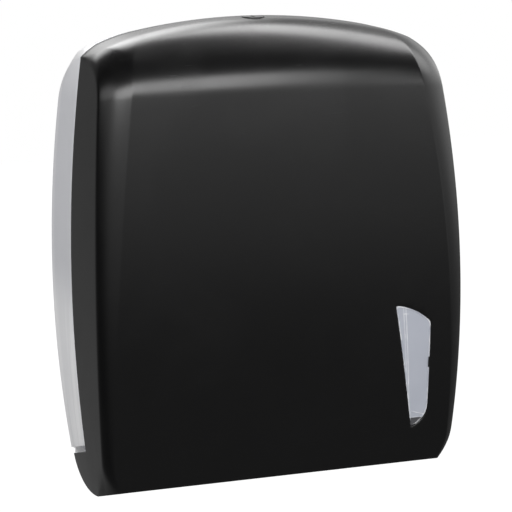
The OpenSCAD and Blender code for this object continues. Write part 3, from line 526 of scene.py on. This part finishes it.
# Rings of points, each ring alike, closed at both ends by a cap or, for rings in pairs, by a strip
def loft(name, rings, paired=False):
    n = len(rings[0])
    end = (len(rings) - 1) * n
    faces = []
    for k in range(len(rings) - 1):
        for j in range(n):
            m = (j + 1) % n
            faces.append((k * n + j, k * n + m, (k + 1) * n + m, (k + 1) * n + j))
    if paired:
        for a in (0, end):
            faces += [(a + j, a + j + 1, a + n - 2 - j, a + n - 1 - j) for j in range(n // 2 - 1)]
    else:
        faces += [tuple(range(n)), tuple(range(end + n - 1, end - 1, -1))]
    return outward(newObject(name, [p for ring in rings for p in ring], faces))


def block(x, d, z, width=0.0):
    ring = [(x[0], d[0]), (x[1], d[0]), (x[1], d[1]), (x[0], d[1])]
    obj = loft("block", [[spot(a, b, h) for a, b in ring] for h in z])
    return roundEdges(obj, width) if width else obj


def circle(sides):
    return [(math.cos(2 * math.pi * k / sides), math.sin(2 * math.pi * k / sides)) for k in range(sides)]


# A round bar from one point along a way, with optional rounded ends
def bar(start, way, radius, length, sides=48, width=0.0):
    way = Vector(way).normalized()
    first = way.orthogonal().normalized()
    second = way.cross(first)
    rings = []
    for far in (0.0, length):
        centre = Vector(start) + way * far * mm
        rings.append([centre + (first * c + second * s) * radius * mm for c, s in circle(sides)])
    obj = loft("bar", rings)
    return roundEdges(obj, width) if width else obj


def combine(obj, tools, operation):
    for tool in tools:
        step = obj.modifiers.new("step", "BOOLEAN")
        step.operation = operation
        step.solver = "MANIFOLD"
        step.object = tool
    ready = obj.evaluated_get(bpy.context.evaluated_depsgraph_get())
    mesh = bpy.data.meshes.new_from_object(ready)
    obj.modifiers.clear()
    obj.data = mesh
    for tool in tools:
        bpy.data.objects.remove(tool)
    return obj


def settle(obj, name, body, slotName, replaced=(), angle=32.0):
    obj.name = name
    obj.data.name = name
    obj.data.materials.clear()
    obj.data.materials.append(finishes[slotName])
    for face in obj.data.polygons:
        face.use_smooth = True
        face.material_index = 0
    obj.data.set_sharp_from_angle(angle=math.radians(angle))
    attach(obj, body)
    if replaced:
        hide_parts(*replaced)


# Cover: rows of points from the lower edge up the front, over the brow and back to the parting line
coverForm = dict(
    width=287.0, depth=138.0, height=335.0, sideR=1420.0, sideWideH=125.0, backW=281.0, backR=952.0,
    backWideH=155.0, frontR=828.0, frontFullH=124.0, archR=482.0, browDrop=49.3, bandWLow=6.6, bandWTop=23.8,
    bandFallLow=6.6, bandFallTop=14.6, swellLow=0.3, swellTop=1.7, edgeRoll=1.9, cornerRoll=7.0,
    cornerRollH=30.0, cornerIn=6.5, cornerH=20.0, cornerDip=3.1, footDrop=0.5, cornerReach=26.0,
    cornerBack=9.0, rimLow=66.0, rimTop=50.0, cheekSlope=0.45, wall=2.5, creaseSoft=0.6, creaseTop=13.0,
    rollTop=4.5, rollAim=0.2, rollPart=3.0,  # a roll takes at most one part in rollPart of the cheek
    hookTipD=7.0, hookTipDrop=4.0, bellyFrontD=85.0, bellyHeelD=8.0, bellyFrontDrop=18.6, bellyHeelDrop=31.0,
    bellyEase=1.5, frontRows=14, browRows=10, topRows=2, hookRows=4, rowEase=1.5)
cf = coverForm
lastRow = cf["frontRows"] + cf["browRows"] + cf["topRows"]
footA = math.asin(-cf["frontFullH"] / cf["frontR"])
browA = math.asin((cf["height"] - cf["browDrop"] - cf["frontFullH"]) / cf["frontR"])


def frontDepth(z):
    return cf["depth"] - cf["frontR"] + math.sqrt(cf["frontR"] ** 2 - (z - cf["frontFullH"]) ** 2)


def byHeight(low, high, z):
    return mix(cf[low], cf[high], z / cf["height"])


def edgeHalf(z):
    return cf["width"] / 2 - (z - cf["sideWideH"]) ** 2 / (2 * cf["sideR"])


def backHalf(z):
    return cf["backW"] / 2 - (z - cf["backWideH"]) ** 2 / (2 * cf["backR"])


def sideHalf(d, z):
    return mix(backHalf(z), edgeHalf(z), d / (frontDepth(z) - byHeight("bandFallLow", "bandFallTop", z)))


def rimDepth(z):
    return byHeight("rimLow", "rimTop", z)


def crown(x):
    return cf["height"] - cf["archR"] + math.sqrt(cf["archR"] ** 2 - x * x)


def browR(x):
    return (crown(x) - cf["height"] + cf["browDrop"]) / (1 - math.sin(browA))


def browD(x):
    return cf["depth"] - cf["frontR"] + (cf["frontR"] - browR(x)) * math.cos(browA)


# Depth, height and lean of row i at x, inset by t
def skin(x, i, t):
    if i <= cf["frontRows"]:
        a = mix(footA, browA, (i / cf["frontRows"]) ** cf["rowEase"])
        r = cf["frontR"] - t
        drop = cf["footDrop"] * max(0.0, 1 - i / cf["hookRows"]) ** 2
        return cf["depth"] - cf["frontR"] + r * math.cos(a), cf["frontFullH"] + r * math.sin(a) - drop, a
    k = i - cf["frontRows"]
    if k <= cf["browRows"]:
        a = mix(browA, math.pi / 2, k / cf["browRows"])
        r = browR(x)
        return browD(x) + (r - t) * math.cos(a), crown(x) - r + (r - t) * math.sin(a), a
    f = (k - cf["browRows"]) / cf["topRows"]
    return mix(browD(x), rimDepth(crown(x)), f), crown(x) - t, math.pi / 2


# Share of the lower corner's rounding at a height
def cornerShare(z):
    return max(0.0, 1 - z / cf["cornerH"]) ** 2


def creaseX(i):
    z = skin(cf["width"] / 2 - 2 * cf["bandWTop"], i, 0)[1]
    return edgeHalf(z) - byHeight("bandWLow", "bandWTop", z) - cf["cornerIn"] * cornerShare(z)


def edgePoint(i, t):
    d, z, lean = skin(creaseX(i), i, t)
    fall = byHeight("bandFallLow", "bandFallTop", z)
    share = cornerShare(z)
    d, z = d - fall * math.cos(lean), z - fall * math.sin(lean) - cf["cornerDip"] * share
    return Vector((sideHalf(d, z) - t - cf["cornerIn"] * share, d, z))


def rimHeight(i, t):
    e = edgePoint(i, t)
    return e.z - cf["cheekSlope"] * (e.y - rimDepth(e.z)) - cf["edgeRoll"]


hookTip = Vector((cf["hookTipD"], -cf["hookTipDrop"]))
hookRootH = rimHeight(cf["hookRows"], 0)
hookRoot = Vector((rimDepth(hookRootH), hookRootH))


def rimPoint(i, t):
    if i <= cf["hookRows"]:
        return mix(hookTip, hookRoot, i / cf["hookRows"])
    z = rimHeight(i, t)
    return Vector((rimDepth(z), z))


bellyStart = edgePoint(0, 0).yz
bellyFront = Vector((cf["bellyFrontD"], -cf["bellyFrontDrop"]))
bellyHeel = Vector((cf["bellyHeelD"], -cf["bellyHeelDrop"]))


def belly(s):
    r = 1 - s
    return bellyStart * r ** 3 + bellyFront * 3 * s * r * r + bellyHeel * 3 * s * s * r + hookTip * s ** 3


def cheekPoint(i, s, t, e):
    p = mix(Vector((e.y, e.z)), rimPoint(i, t), s)
    if i < cf["hookRows"]:
        p += (1 - i / cf["hookRows"]) ** cf["bellyEase"] * (belly(s) - mix(bellyStart, hookTip, s))
    back = max(0.0, 1 - (p - e.yz).length / cf["cornerReach"]) ** 2
    return Vector((sideHalf(p.x, p.y) - t - (sideHalf(e.y, e.z) - t - e.x) * back, p.x, p.y))


# A point of the band between crease c and edge e, which swells most at half way
def bandPoint(c, e, lean, s, more=0.0):
    up = Vector((0, math.cos(lean), math.sin(lean)))
    run, drop = e.x - c.x, (c - e).dot(up)
    swell = 4 * s * (1 - s) * (byHeight("swellLow", "swellTop", c.z) + more)
    return mix(c, e, s) + swell * (Vector((drop, 0, 0)) + run * up) / math.hypot(run, drop)


def bend(a, b, c, f):
    return a * (1 - f) ** 2 + b * 2 * f * (1 - f) + c * f * f


# How far row i has turned over the brow, eased at both ends
def browShare(i):
    return ease((i - cf["frontRows"]) / cf["browRows"])


def shares(n, first=0):
    return [k / n for k in range(first, n + 1)]


coverGrid = dict(hook=12, front=56, brow=40, top=4, mid=44, crease=6, band=14, roll=6, cheek=40)


def halfRow(i, t):
    g = coverGrid
    xc = creaseX(i)
    e = edgePoint(i, t)
    reach = (e - cheekPoint(i, 1, t, e)).length
    most = reach / cf["rollPart"]
    fade = max(0.0, 1 - edgePoint(i, 0).z / cf["cornerRollH"]) ** 2
    over = browShare(i)
    roll = min(mix(cf["edgeRoll"], cf["cornerRoll"], fade) + cf["rollTop"] * over ** 2, most)
    soft = mix(cf["creaseSoft"], cf["creaseTop"], over ** 3)
    d, z, lean = skin(xc, i, t)
    c = Vector((xc, d, z))
    across = (e - c).length
    free = 1 - roll / across
    near = soft / across
    inner = xc - soft
    row = []
    for f in shares(g["mid"]):
        d, z, _ = skin(inner * f, i, t)
        row.append(Vector((inner * f, d, z)))
    row += [bend(row[-1], c, bandPoint(c, e, lean, near), f) for f in shares(g["crease"], 1)]
    row += [bandPoint(c, e, lean, mix(near, free, f)) for f in shares(g["band"], 1)]
    start = row.pop()
    start = e + (start - e).normalized() * roll
    back = min(roll + cf["cornerBack"] * fade ** 2, most)
    side = e + (cheekPoint(i, cf["rollAim"], t, e) - e).normalized() * back
    row += [bend(start, e, side, f) for f in shares(g["roll"])]
    row += [cheekPoint(i, mix(back / reach, 1, f), t, e) for f in shares(g["cheek"], 1)]
    return row


def rowStops():
    g = coverGrid
    hookShare = (cf["hookRows"] / cf["frontRows"]) ** cf["rowEase"]
    stops = [cf["hookRows"] * f for f in shares(g["hook"])]
    stops += [cf["frontRows"] * mix(hookShare, 1, f) ** (1 / cf["rowEase"]) for f in shares(g["front"], 1)]
    stops += [cf["frontRows"] + cf["browRows"] * f for f in shares(g["brow"], 1)]
    return stops + [lastRow - cf["topRows"] * (1 - f) for f in shares(g["top"], 1)]


# A closed shell between two like grids of half rows, mirrored to both sides
def shell(name, outer, inner):
    points = []
    for grid in (outer, inner):
        for half in grid:
            points += [spot(-p.x, p.y, p.z) for p in reversed(half[1:])]
            points += [spot(p.x, p.y, p.z) for p in half]
    n, c = len(outer), 2 * len(outer[0]) - 1
    total = n * c
    faces = []
    for i in range(n - 1):
        for j in range(c - 1):
            q = (i * c + j, (i + 1) * c + j, (i + 1) * c + j + 1, i * c + j + 1)
            faces += [q, tuple(total + k for k in reversed(q))]
    rim = [i * c for i in range(n)]
    rim += [(n - 1) * c + j for j in range(1, c)]
    rim += [i * c + c - 1 for i in range(n - 2, -1, -1)]
    rim += list(range(c - 2, 0, -1))
    for k, a in enumerate(rim):
        b = rim[(k + 1) % len(rim)]
        faces.append((b, a, total + a, total + b))
    return outward(newObject(name, points, faces))


shellEdge = dict(width=0.5, angle=50.0)  # rounding of a shell's rim

# Window: right edge upright, left edge leaning, upper and lower edges round
window = dict(right=114.5, width=15.9, topH=110.0, topR=50.0, topTurn=math.pi / 4, lowR=18.0, lowH=45.0,
              lean=9.3, corner=1.6, rightSteps=40, leftSteps=48, arcSteps=30,
              round=0.8, steps=5, flareTurn=80.0, flareOut=2.5, flareUp=(0.5, 4.0), cutDepth=12.0)


# One outline from its sides, with the corners between them rounded
def cornered(sides, radius, steps=5):
    outline = []
    for k, side in enumerate(sides):
        following = sides[(k + 1) % len(sides)]
        turn = Vector(side[-1])
        kept = [p for p in side if (p - turn).length > radius and (p - side[0]).length > radius]
        after = [p for p in following if (p - turn).length > radius]
        outline += kept
        outline += [bend(kept[-1], turn, after[0], f) for f in shares(steps, 1)[:-1]]
    return outline


# The window's outline grown by g, as points (x, z)
def windowOutline(g):
    w = window
    right = w["right"] + g
    topR, lowR = w["topR"] + g, w["lowR"] + g
    turn = w["topTurn"]
    top = Vector((w["right"] - w["topR"] * math.cos(turn), w["topH"] - w["topR"] * math.sin(turn)))
    low = Vector((w["right"] - w["lowR"], w["lowH"]))
    lean = math.radians(w["lean"])
    foot = Vector((w["right"] - w["width"] - g / math.cos(lean), w["lowH"]))
    way = Vector((-math.sin(lean), math.cos(lean)))

    def meet(centre, radius, sign):
        b = (foot - centre).dot(way)
        return foot + way * (sign * math.sqrt(b * b - (foot - centre).length_squared + radius ** 2) - b)

    def arc(centre, radius, a, b):
        turns = [mix(a, b, f) for f in shares(w["arcSteps"])]
        return [centre + radius * Vector((math.cos(q), math.sin(q))) for q in turns]

    upper, lower = meet(top, topR, 1), meet(low, lowR, -1)
    topA = math.atan2(upper.y - top.y, upper.x - top.x)
    lowA = math.atan2(lower.y - low.y, lower.x - low.x)
    rightA = math.acos((right - top.x) / topR)
    head = Vector((right, top.y + topR * math.sin(rightA)))
    heel = Vector((right, w["lowH"]))
    edgeRight = [mix(head, heel, f) for f in shares(w["rightSteps"])]
    edgeLeft = [mix(lower, upper, f) for f in shares(w["leftSteps"])]
    sides = [edgeRight + arc(low, lowR, 0, lowA)[1:], edgeLeft, arc(top, topR, topA, rightA)]
    return cornered(sides, w["corner"])


def windowRing(g, sunk):
    return [spot(p.x, frontDepth(p.y) - sunk, p.y) for p in windowOutline(g)]


# The cutter is flared at the skin, so that the opening's edge comes out round
def windowCutter():
    w = window
    r, n = w["round"], w["steps"]
    rings = [windowRing(0, w["cutDepth"])]
    for k in range(n):
        a = math.radians(w["flareTurn"] * k / (n - 1))
        rings.append(windowRing(r * (1 - math.cos(a)), r - r * math.sin(a)))
    rings += [windowRing(w["flareOut"] * r, -up) for up in w["flareUp"]]
    return loft("windowCutter", rings)


# Lock: the hole is flared at the skin too, by shares of its rounding (out, up)
lock = dict(d=62.0, faceR=8.0, faceGap=0.8, drop=7.0, screwX=21.5, bossR=4.0, screwR=1.5, bite=4.0,
            over=1.0, round=0.5, flare=((0.0, -1.0), (0.15, -0.4), (0.5, 0.0)), flareOut=2.0,
            cutDepth=12.0, cutUp=3.0, sides=96)


def lockCutter():
    r, edge = lock["faceR"] + lock["faceGap"], lock["round"]
    profile = [(r, -lock["cutDepth"])]
    profile += [(r + out * edge, up * edge) for out, up in lock["flare"]]
    profile.append((r + lock["flareOut"] * edge, lock["cutUp"]))
    rings = []
    for radius, up in profile:
        rings.append([spot(radius * c, lock["d"] + radius * s, cf["height"] + up)
                      for c, s in circle(lock["sides"])])
    return loft("lockCutter", rings)


hinge = dict(d=15.0, z=-9.0, pinR=2.5, pinLen=19.0, pinClear=0.05, bushT=1.5, bossR=5.5, bossLen=12.0,
             lugT=9.0, lugGap=1.0, lugWall=3.0, lugRise=6.0, lugRoot=0.5, lugUp=0.01, lugSides=64,
             edge=0.5, over=5.0)
hinge["bossEnd"] = sideHalf(hinge["d"], hinge["z"]) - cf["wall"] / 2
hinge["bossX"] = hinge["bossEnd"] - hinge["bossLen"]
lip = dict(width=236.0, rise=0.6, depth=11.0, back=1.2, thick=2.4, edge=0.5)
studs = dict(h=78.0, r=1.5, flange=8.0, back=5.9, bite=1.0, edge=0.3)
paneTab = dict(x=(113.2, 116.0), z=(74.5, 82.5), sunk=(0.45, 0.05))


def studXs():
    w = window
    left = w["right"] - w["width"] - (studs["h"] - w["lowH"]) * math.tan(math.radians(w["lean"]))
    return left - studs["flange"] / 2, w["right"] + studs["flange"] / 2


def makeCover():
    stops = rowStops()
    cover = shell("cover", [halfRow(i, 0) for i in stops], [halfRow(i, cf["wall"]) for i in stops])
    roundEdges(cover, **shellEdge)
    combine(cover, [windowCutter(), lockCutter()], "DIFFERENCE")
    front, half = frontDepth(0), lip["width"] / 2
    lockFoot = cf["height"] - lock["drop"]
    bossLen = crown(lock["screwX"]) - cf["wall"] / 2 - lockFoot
    pinIn = hinge["pinLen"] - hinge["lugT"] - 2 * hinge["lugGap"]
    adds = [block((-half, half), (front - lip["depth"], front - lip["back"]),
                  (lip["rise"], lip["rise"] + lip["thick"]), lip["edge"])]
    cuts = []
    for s in (-1, 1):
        adds.append(bar(spot(s * hinge["bossX"], hinge["d"], hinge["z"]), (s, 0, 0), hinge["bossR"],
                        hinge["bossLen"], width=hinge["edge"]))
        adds.append(bar(spot(s * lock["screwX"], lock["d"], lockFoot), (0, 0, 1), lock["bossR"], bossLen))
        cuts.append(bar(spot(s * (hinge["bossX"] - hinge["over"]), hinge["d"], hinge["z"]), (s, 0, 0),
                        hinge["pinR"], pinIn + hinge["over"]))
        cuts.append(bar(spot(s * lock["screwX"], lock["d"], lockFoot - lock["over"]), (0, 0, 1),
                        lock["screwR"], lock["bite"] + lock["over"]))
    (left, right), (low, high) = paneTab["x"], paneTab["z"]
    tab = [(left, low), (right, low), (right, high), (left, high)]
    adds.append(loft("tab", [[spot(x, frontDepth(z) - g, z) for x, z in tab] for g in paneTab["sunk"]]))
    for x in studXs():
        adds.append(bar(spot(x, frontDepth(studs["h"]) - studs["back"], studs["h"]), (0, -1, 0), studs["r"],
                        studs["back"] - cf["wall"] + studs["bite"], width=studs["edge"]))
    combine(cover, adds, "UNION")
    combine(cover, cuts, "DIFFERENCE")
    settle(cover, "coverMoulding", "cover", "cover", ["front_cover"])


makeCover()
print("cover made")

# Pane: a plug that fills the window, with a raised rim, moulded ribs and a flange behind the cover
pane = dict(levels=70, levelEnds=(0.02, 0.98), clear=0.15, sunk=0.8, gap=0.2, thick=1.6,
            flange=8.0, flangeMid=4.0, edge=0.4, edgeShare=0.3, round=0.3,
            rimIn=1.3, rimSlope=0.3, rimRise=0.3, holeBack=12.0, holeLen=14.0,
            inward=(0.0, 0.25, 0.5, 0.75),  # shares of the way from the edge to the middle
            ribs=paneLines + [((101.4, 40.2), (112.4, 36.9), 0.8, 0.35),
                              ((100.2, 35.4), (111.6, 34.9), 0.5, 0.25)])
ribForm = dict(steps=20, taper=12, across=(-1.0, -0.55, 0.55, 1.0), foot=0.1, root=0.4)


# Level cuts through the outline grown by g, as a ring of left ends and right ends drawn in by a share
def paneRing(g, share, sunk):
    outline = windowOutline(g)
    low, high = min(p.y for p in outline), max(p.y for p in outline)
    lefts, rights = [], []
    for f in shares(pane["levels"]):
        # levels lie closer together near both ends
        z = mix(low, high, 0.5 - 0.5 * math.cos(math.pi * mix(*pane["levelEnds"], f)))
        cuts = []
        for a, b in zip(outline, outline[1:] + outline[:1]):
            if (a.y > z) != (b.y > z):
                cuts.append(mix(a.x, b.x, (z - a.y) / (b.y - a.y)))
        left, right = min(cuts), max(cuts)
        middle = (left + right) / 2
        d = frontDepth(z) - sunk
        lefts.append(spot(mix(left, middle, share), d, z))
        rights.append(spot(mix(right, middle, share), d, z))
    return lefts + rights[::-1]


# A low rib on the pane's face, between two points (x, z)
def paneRib(start, end, width, rise):
    form = ribForm
    start, end = Vector(start), Vector(end)
    across = Vector((start.y - end.y, end.x - start.x)).normalized() * width / 2
    rings = []
    for f in shares(form["steps"]):
        p = mix(start, end, f)
        taper = min(1.0, form["taper"] * f, form["taper"] * (1 - f))
        ring = []
        for k in form["across"]:
            q = p + across * k
            top = rise * taper if abs(k) < 1 else -form["foot"]
            ring.append(spot(q.x, frontDepth(q.y) - pane["sunk"] + top, q.y))
        ring.append(spot(p.x, frontDepth(p.y) - pane["sunk"] - form["root"], p.y))
        rings.append(ring)
    return loft("rib", rings)


def makePane():
    p = pane
    face, seat = p["sunk"], cf["wall"] + p["gap"]
    back = seat + p["thick"]
    e, c, rim = p["edge"], -p["clear"], -p["rimIn"]
    out, mid, r = p["flange"], p["flangeMid"], p["round"]
    top = face - p["rimRise"]
    cut = p["edgeShare"] * e
    profile = [(rim + p["rimSlope"], top), (c - e, top), (c - cut, top + cut), (c, top + e), (c, seat)]
    profile += [(mid, seat), (out - r, seat), (out, seat + r)]
    profile += [(out, back - r), (out - r, back), (mid, back)]
    steps = [(rim, f, face) for f in reversed(p["inward"])]
    steps += [(g, 0.0, sunk) for g, sunk in profile]
    steps += [(0.0, f, back) for f in p["inward"]]
    obj = loft("pane", [paneRing(*step) for step in steps], paired=True)
    combine(obj, [paneRib(*rib) for rib in p["ribs"]], "UNION")
    holeD, holeR = frontDepth(studs["h"]) - p["holeBack"], studs["r"] + p["gap"]
    holes = [bar(spot(x, holeD, studs["h"]), (0, -1, 0), holeR, p["holeLen"]) for x in studXs()]
    combine(obj, holes, "DIFFERENCE")
    settle(obj, "windowPane", "cover", "lens", ["window_lens"])


makePane()
print("pane made")

# Housing: side walls and top that fall to the wall, back plate, side panels and lugs
housing = dict(wall=2.5, rimGap=1.0, wallBack=0.5, hookGap=5.0, fallSlope=0.2, fallR=65.0, fallEase=0.74,
               rearSwell=5.5, rearRoll=15.0, easeFrom=70.0, easeTo=115.0,
               panelTop=262.0, panelBack=24.0, panelLowBack=16.7, panelSlope=0.22, bayInset=5.2,
               webBack=5.0, webLift=4.0, webBite=1.0, webEdge=0.2,
               plate=3.0, plateHalf=125.0, plateLow=119.0, plateStep=-7.0, plateLap=12.0, stepLap=2.0,
               plateEdge=0.4, holeX=80.0, holeZ=90.0, holeR=2.75, holeFrom=-5.0, holeCut=20.0,
               trayScrews=(-90.0, -40.0, 40.0, 90.0), trayScrewH=29.0, trayRear=9.0, bossRoot=1.0,
               bossEdge=0.4, bossR=4.0, screwR=1.5, screwCut=12.0,
               catchX=14.0, catchD=38.0, catchZ=323.0, catchLen=7.5, over=1.0)
hs = housing
corner = edgePoint(lastRow, 0)
webD = cf["rimTop"] - hs["webBack"]


def fall(d):
    g = max(0.0, cf["rimTop"] - hs["rimGap"] - d)
    return hs["fallSlope"] * g + g * g / (2 * hs["fallR"])


# The corners fall less than the middle
def fallAt(d, x):
    return fall(d) * mix(1, hs["fallEase"], ease((x - hs["easeFrom"]) / (hs["easeTo"] - hs["easeFrom"])))


def hookEdge(d):
    return mix(hookTip.y, hookRoot.y, (d - hookTip.x) / (hookRoot.x - hookTip.x))


def wallFoot(d):
    return hookEdge(d) + hs["hookGap"]


def wallDepth(z, f):
    return mix(rimDepth(z) - hs["rimGap"], hs["wallBack"], f)


def wallSide(f, s, t):
    low = wallFoot(wallDepth(hookRoot.y, f))
    high = corner.z - fallAt(wallDepth(corner.z, f), corner.x) - t / 2
    z = mix(low, high, s)
    d = wallDepth(z, f)
    return Vector((sideHalf(d, z) - t, d, z))


def wallTop(f, x, t):
    d = wallDepth(crown(x), f)
    return Vector((x, d, crown(x) - fallAt(d, x) - t))


housingGrid = dict(arch=40, crease=8, band=14, roll=8, wall=60, deep=24, panel=24)


def wallHalf(f, t):
    g = housingGrid
    xc = creaseX(lastRow) - t / 2
    e, c = wallSide(f, 1, t), wallTop(f, xc, t)
    roll = mix(cf["edgeRoll"] + cf["rollTop"], hs["rearRoll"], f)
    start = roll / (e - wallSide(f, 0, t)).length
    free = 1 - roll / (e - c).length
    near = cf["creaseTop"] / (e - c).length
    row = [wallTop(f, (xc - cf["creaseTop"]) * k, t) for k in shares(g["arch"])]
    more = hs["rearSwell"] * f
    row += [bend(row[-1], c, bandPoint(c, e, math.pi / 2, near, more), k) for k in shares(g["crease"], 1)]
    row += [bandPoint(c, e, math.pi / 2, mix(near, free, k), more) for k in shares(g["band"], 1)]
    above, below = row[-1], wallSide(f, 1 - start, t)
    row += [bend(above, e, below, k) for k in shares(g["roll"], 1)]
    return row + [wallSide(f, (1 - start) * (1 - k), t) for k in shares(g["wall"], 1)]


# A plate standing across x, from an outline of (d, z)
def upright(x, thick, outline, width=0.5):
    obj = loft("upright", [[spot(a, d, z) for d, z in outline] for a in (x, x + thick)])
    return roundEdges(obj, width)


# A plate facing the front, from an outline of (x, z)
def fronted(d, thick, outline, width=0.4):
    obj = loft("fronted", [[spot(x, b, z) for x, z in outline] for b in (d, d + thick)])
    return roundEdges(obj, width)


# The side panel's outline as points (d, z): up the front edge, which follows the cover's front
def panelOutline():
    rear = webD - hs["wall"]
    lowD = frontDepth(0) - hs["panelLowBack"]
    root = (hookRoot.x, wallFoot(hookRoot.x))
    lowZ = root[1] + hs["panelSlope"] * (lowD - hookRoot.x)
    outline = [(rear, wallFoot(rear)), root, (lowD, lowZ)]
    for f in shares(housingGrid["panel"], 1):
        z = mix(lowZ, hs["panelTop"], f)
        outline.append((frontDepth(z) - hs["panelBack"], z))
    return outline + [(rear, hs["panelTop"])]


def makeHousing():
    h = hinge
    deep = shares(housingGrid["deep"])
    body = shell("housing", [wallHalf(f, 0) for f in deep], [wallHalf(f, hs["wall"]) for f in deep])
    roundEdges(body, **shellEdge)
    outline = [(p.x, p.z) for p in wallHalf(1, hs["wall"] / 2)]
    adds = [fronted(0, hs["plate"], [(-x, z) for x, z in reversed(outline[1:])] + outline)]
    cuts = []
    lugX = h["bossX"] - h["lugGap"] - h["lugT"]
    bushR = h["pinR"] + h["pinClear"] + h["bushT"]
    lugR = bushR + h["lugWall"]
    for half, low, high in ((hs["plateHalf"], hs["plateStep"], wallFoot(0) + hs["plateLap"]),
                            (hs["plateLow"], h["z"] - lugR, hs["plateStep"] + hs["stepLap"])):
        adds.append(block((-half, half), (0, hs["plate"]), (low, high), hs["plateEdge"]))
    panel = panelOutline()
    webFoot = wallFoot(webD) + hs["webLift"]
    panelX = sideHalf(webD, webFoot) - hs["bayInset"]
    for s in (-1, 1):
        adds.append(upright(panelX if s > 0 else -panelX - hs["wall"], hs["wall"], panel))
        web = []
        for f in shares(housingGrid["panel"]):
            z = mix(webFoot, hs["panelTop"], f)
            web.append((s * (sideHalf(webD, z) - hs["wall"] + hs["webBite"]), z))
        web += [(s * panelX, hs["panelTop"]), (s * panelX, webFoot)]
        adds.append(fronted(webD - hs["wall"], hs["wall"], web, hs["webEdge"]))
        lug = (lugX, lugX + h["lugT"]) if s > 0 else (-lugX - h["lugT"], -lugX)
        adds.append(bar(spot(lug[0], h["d"], h["z"]), (1, 0, 0), lugR, h["lugT"], sides=h["lugSides"]))
        adds.append(block(lug, (h["lugRoot"], h["d"]), (h["z"] - lugR + h["lugUp"], h["z"] + h["lugRise"])))
        cuts.append(bar(spot(s * (lugX - h["over"]), h["d"], h["z"]), (s, 0, 0), bushR,
                        h["lugT"] + 2 * h["over"]))
        for group, up, radius in ((adds, 0.0, hs["bossR"]), (cuts, hs["over"], hs["screwR"])):
            group.append(bar(spot(s * hs["catchX"], hs["catchD"], hs["catchZ"] - up), (0, 0, 1), radius,
                             hs["catchLen"]))
        for k in (-1, 1):
            hole = spot(s * hs["holeX"], hs["holeFrom"], holesH + k * hs["holeZ"])
            cuts.append(bar(hole, (0, -1, 0), hs["holeR"], hs["holeCut"]))
    for x in hs["trayScrews"]:
        adds.append(bar(spot(x, hs["bossRoot"], hs["trayScrewH"]), (0, -1, 0), hs["bossR"],
                        hs["trayRear"] - hs["bossRoot"], width=hs["bossEdge"]))
        cuts.append(bar(spot(x, hs["plate"], hs["trayScrewH"]), (0, -1, 0), hs["screwR"], hs["screwCut"]))
    combine(body, adds, "UNION")
    combine(body, cuts, "DIFFERENCE")
    settle(body, "wallHousing", "housing", "housing", ["rear_housing"])


makeHousing()
print("housing made")

# Pieces that keep their solid: softened edges and their own finish
slotOf = {part["node"]: part["material_slot"] for part in frame["record"]["subparts"]}
edges = dict(towel_tray=0.5, exit_throat=0.4, catch_plate=0.25, lock_body=0.5, latch_keeper=0.4,
             latch_bolt=0.35, lock_barrel=0.3, lock_cam=0.3, hinge_bush_left=0.25, hinge_bush_right=0.25,
             hinge_pin_left=0.3, hinge_pin_right=0.3, tray_screws=0.25, catch_screws=0.25, lock_screws=0.25,
             keeper_screws=0.25, cam_screw=0.25, lens_clips=0.15)
solidEdge = dict(weld=0.000002, segments=2, angle=40.0)


def finishSolids():
    for name, obj in nodes.items():
        if obj.hide_render:
            continue
        obj.data.materials.clear()
        obj.data.materials.append(finishes[slotOf[name]])
        weld = obj.modifiers.new("weld", "WELD")
        weld.merge_threshold = solidEdge["weld"]
        if name in edges:
            soft = obj.modifiers.new("softEdges", "BEVEL")
            soft.width = edges[name] * mm
            soft.segments = solidEdge["segments"]
            soft.limit_method = "ANGLE"
            soft.angle_limit = math.radians(solidEdge["angle"])
            soft.harden_normals = True


finishSolids()
print("solids finished")
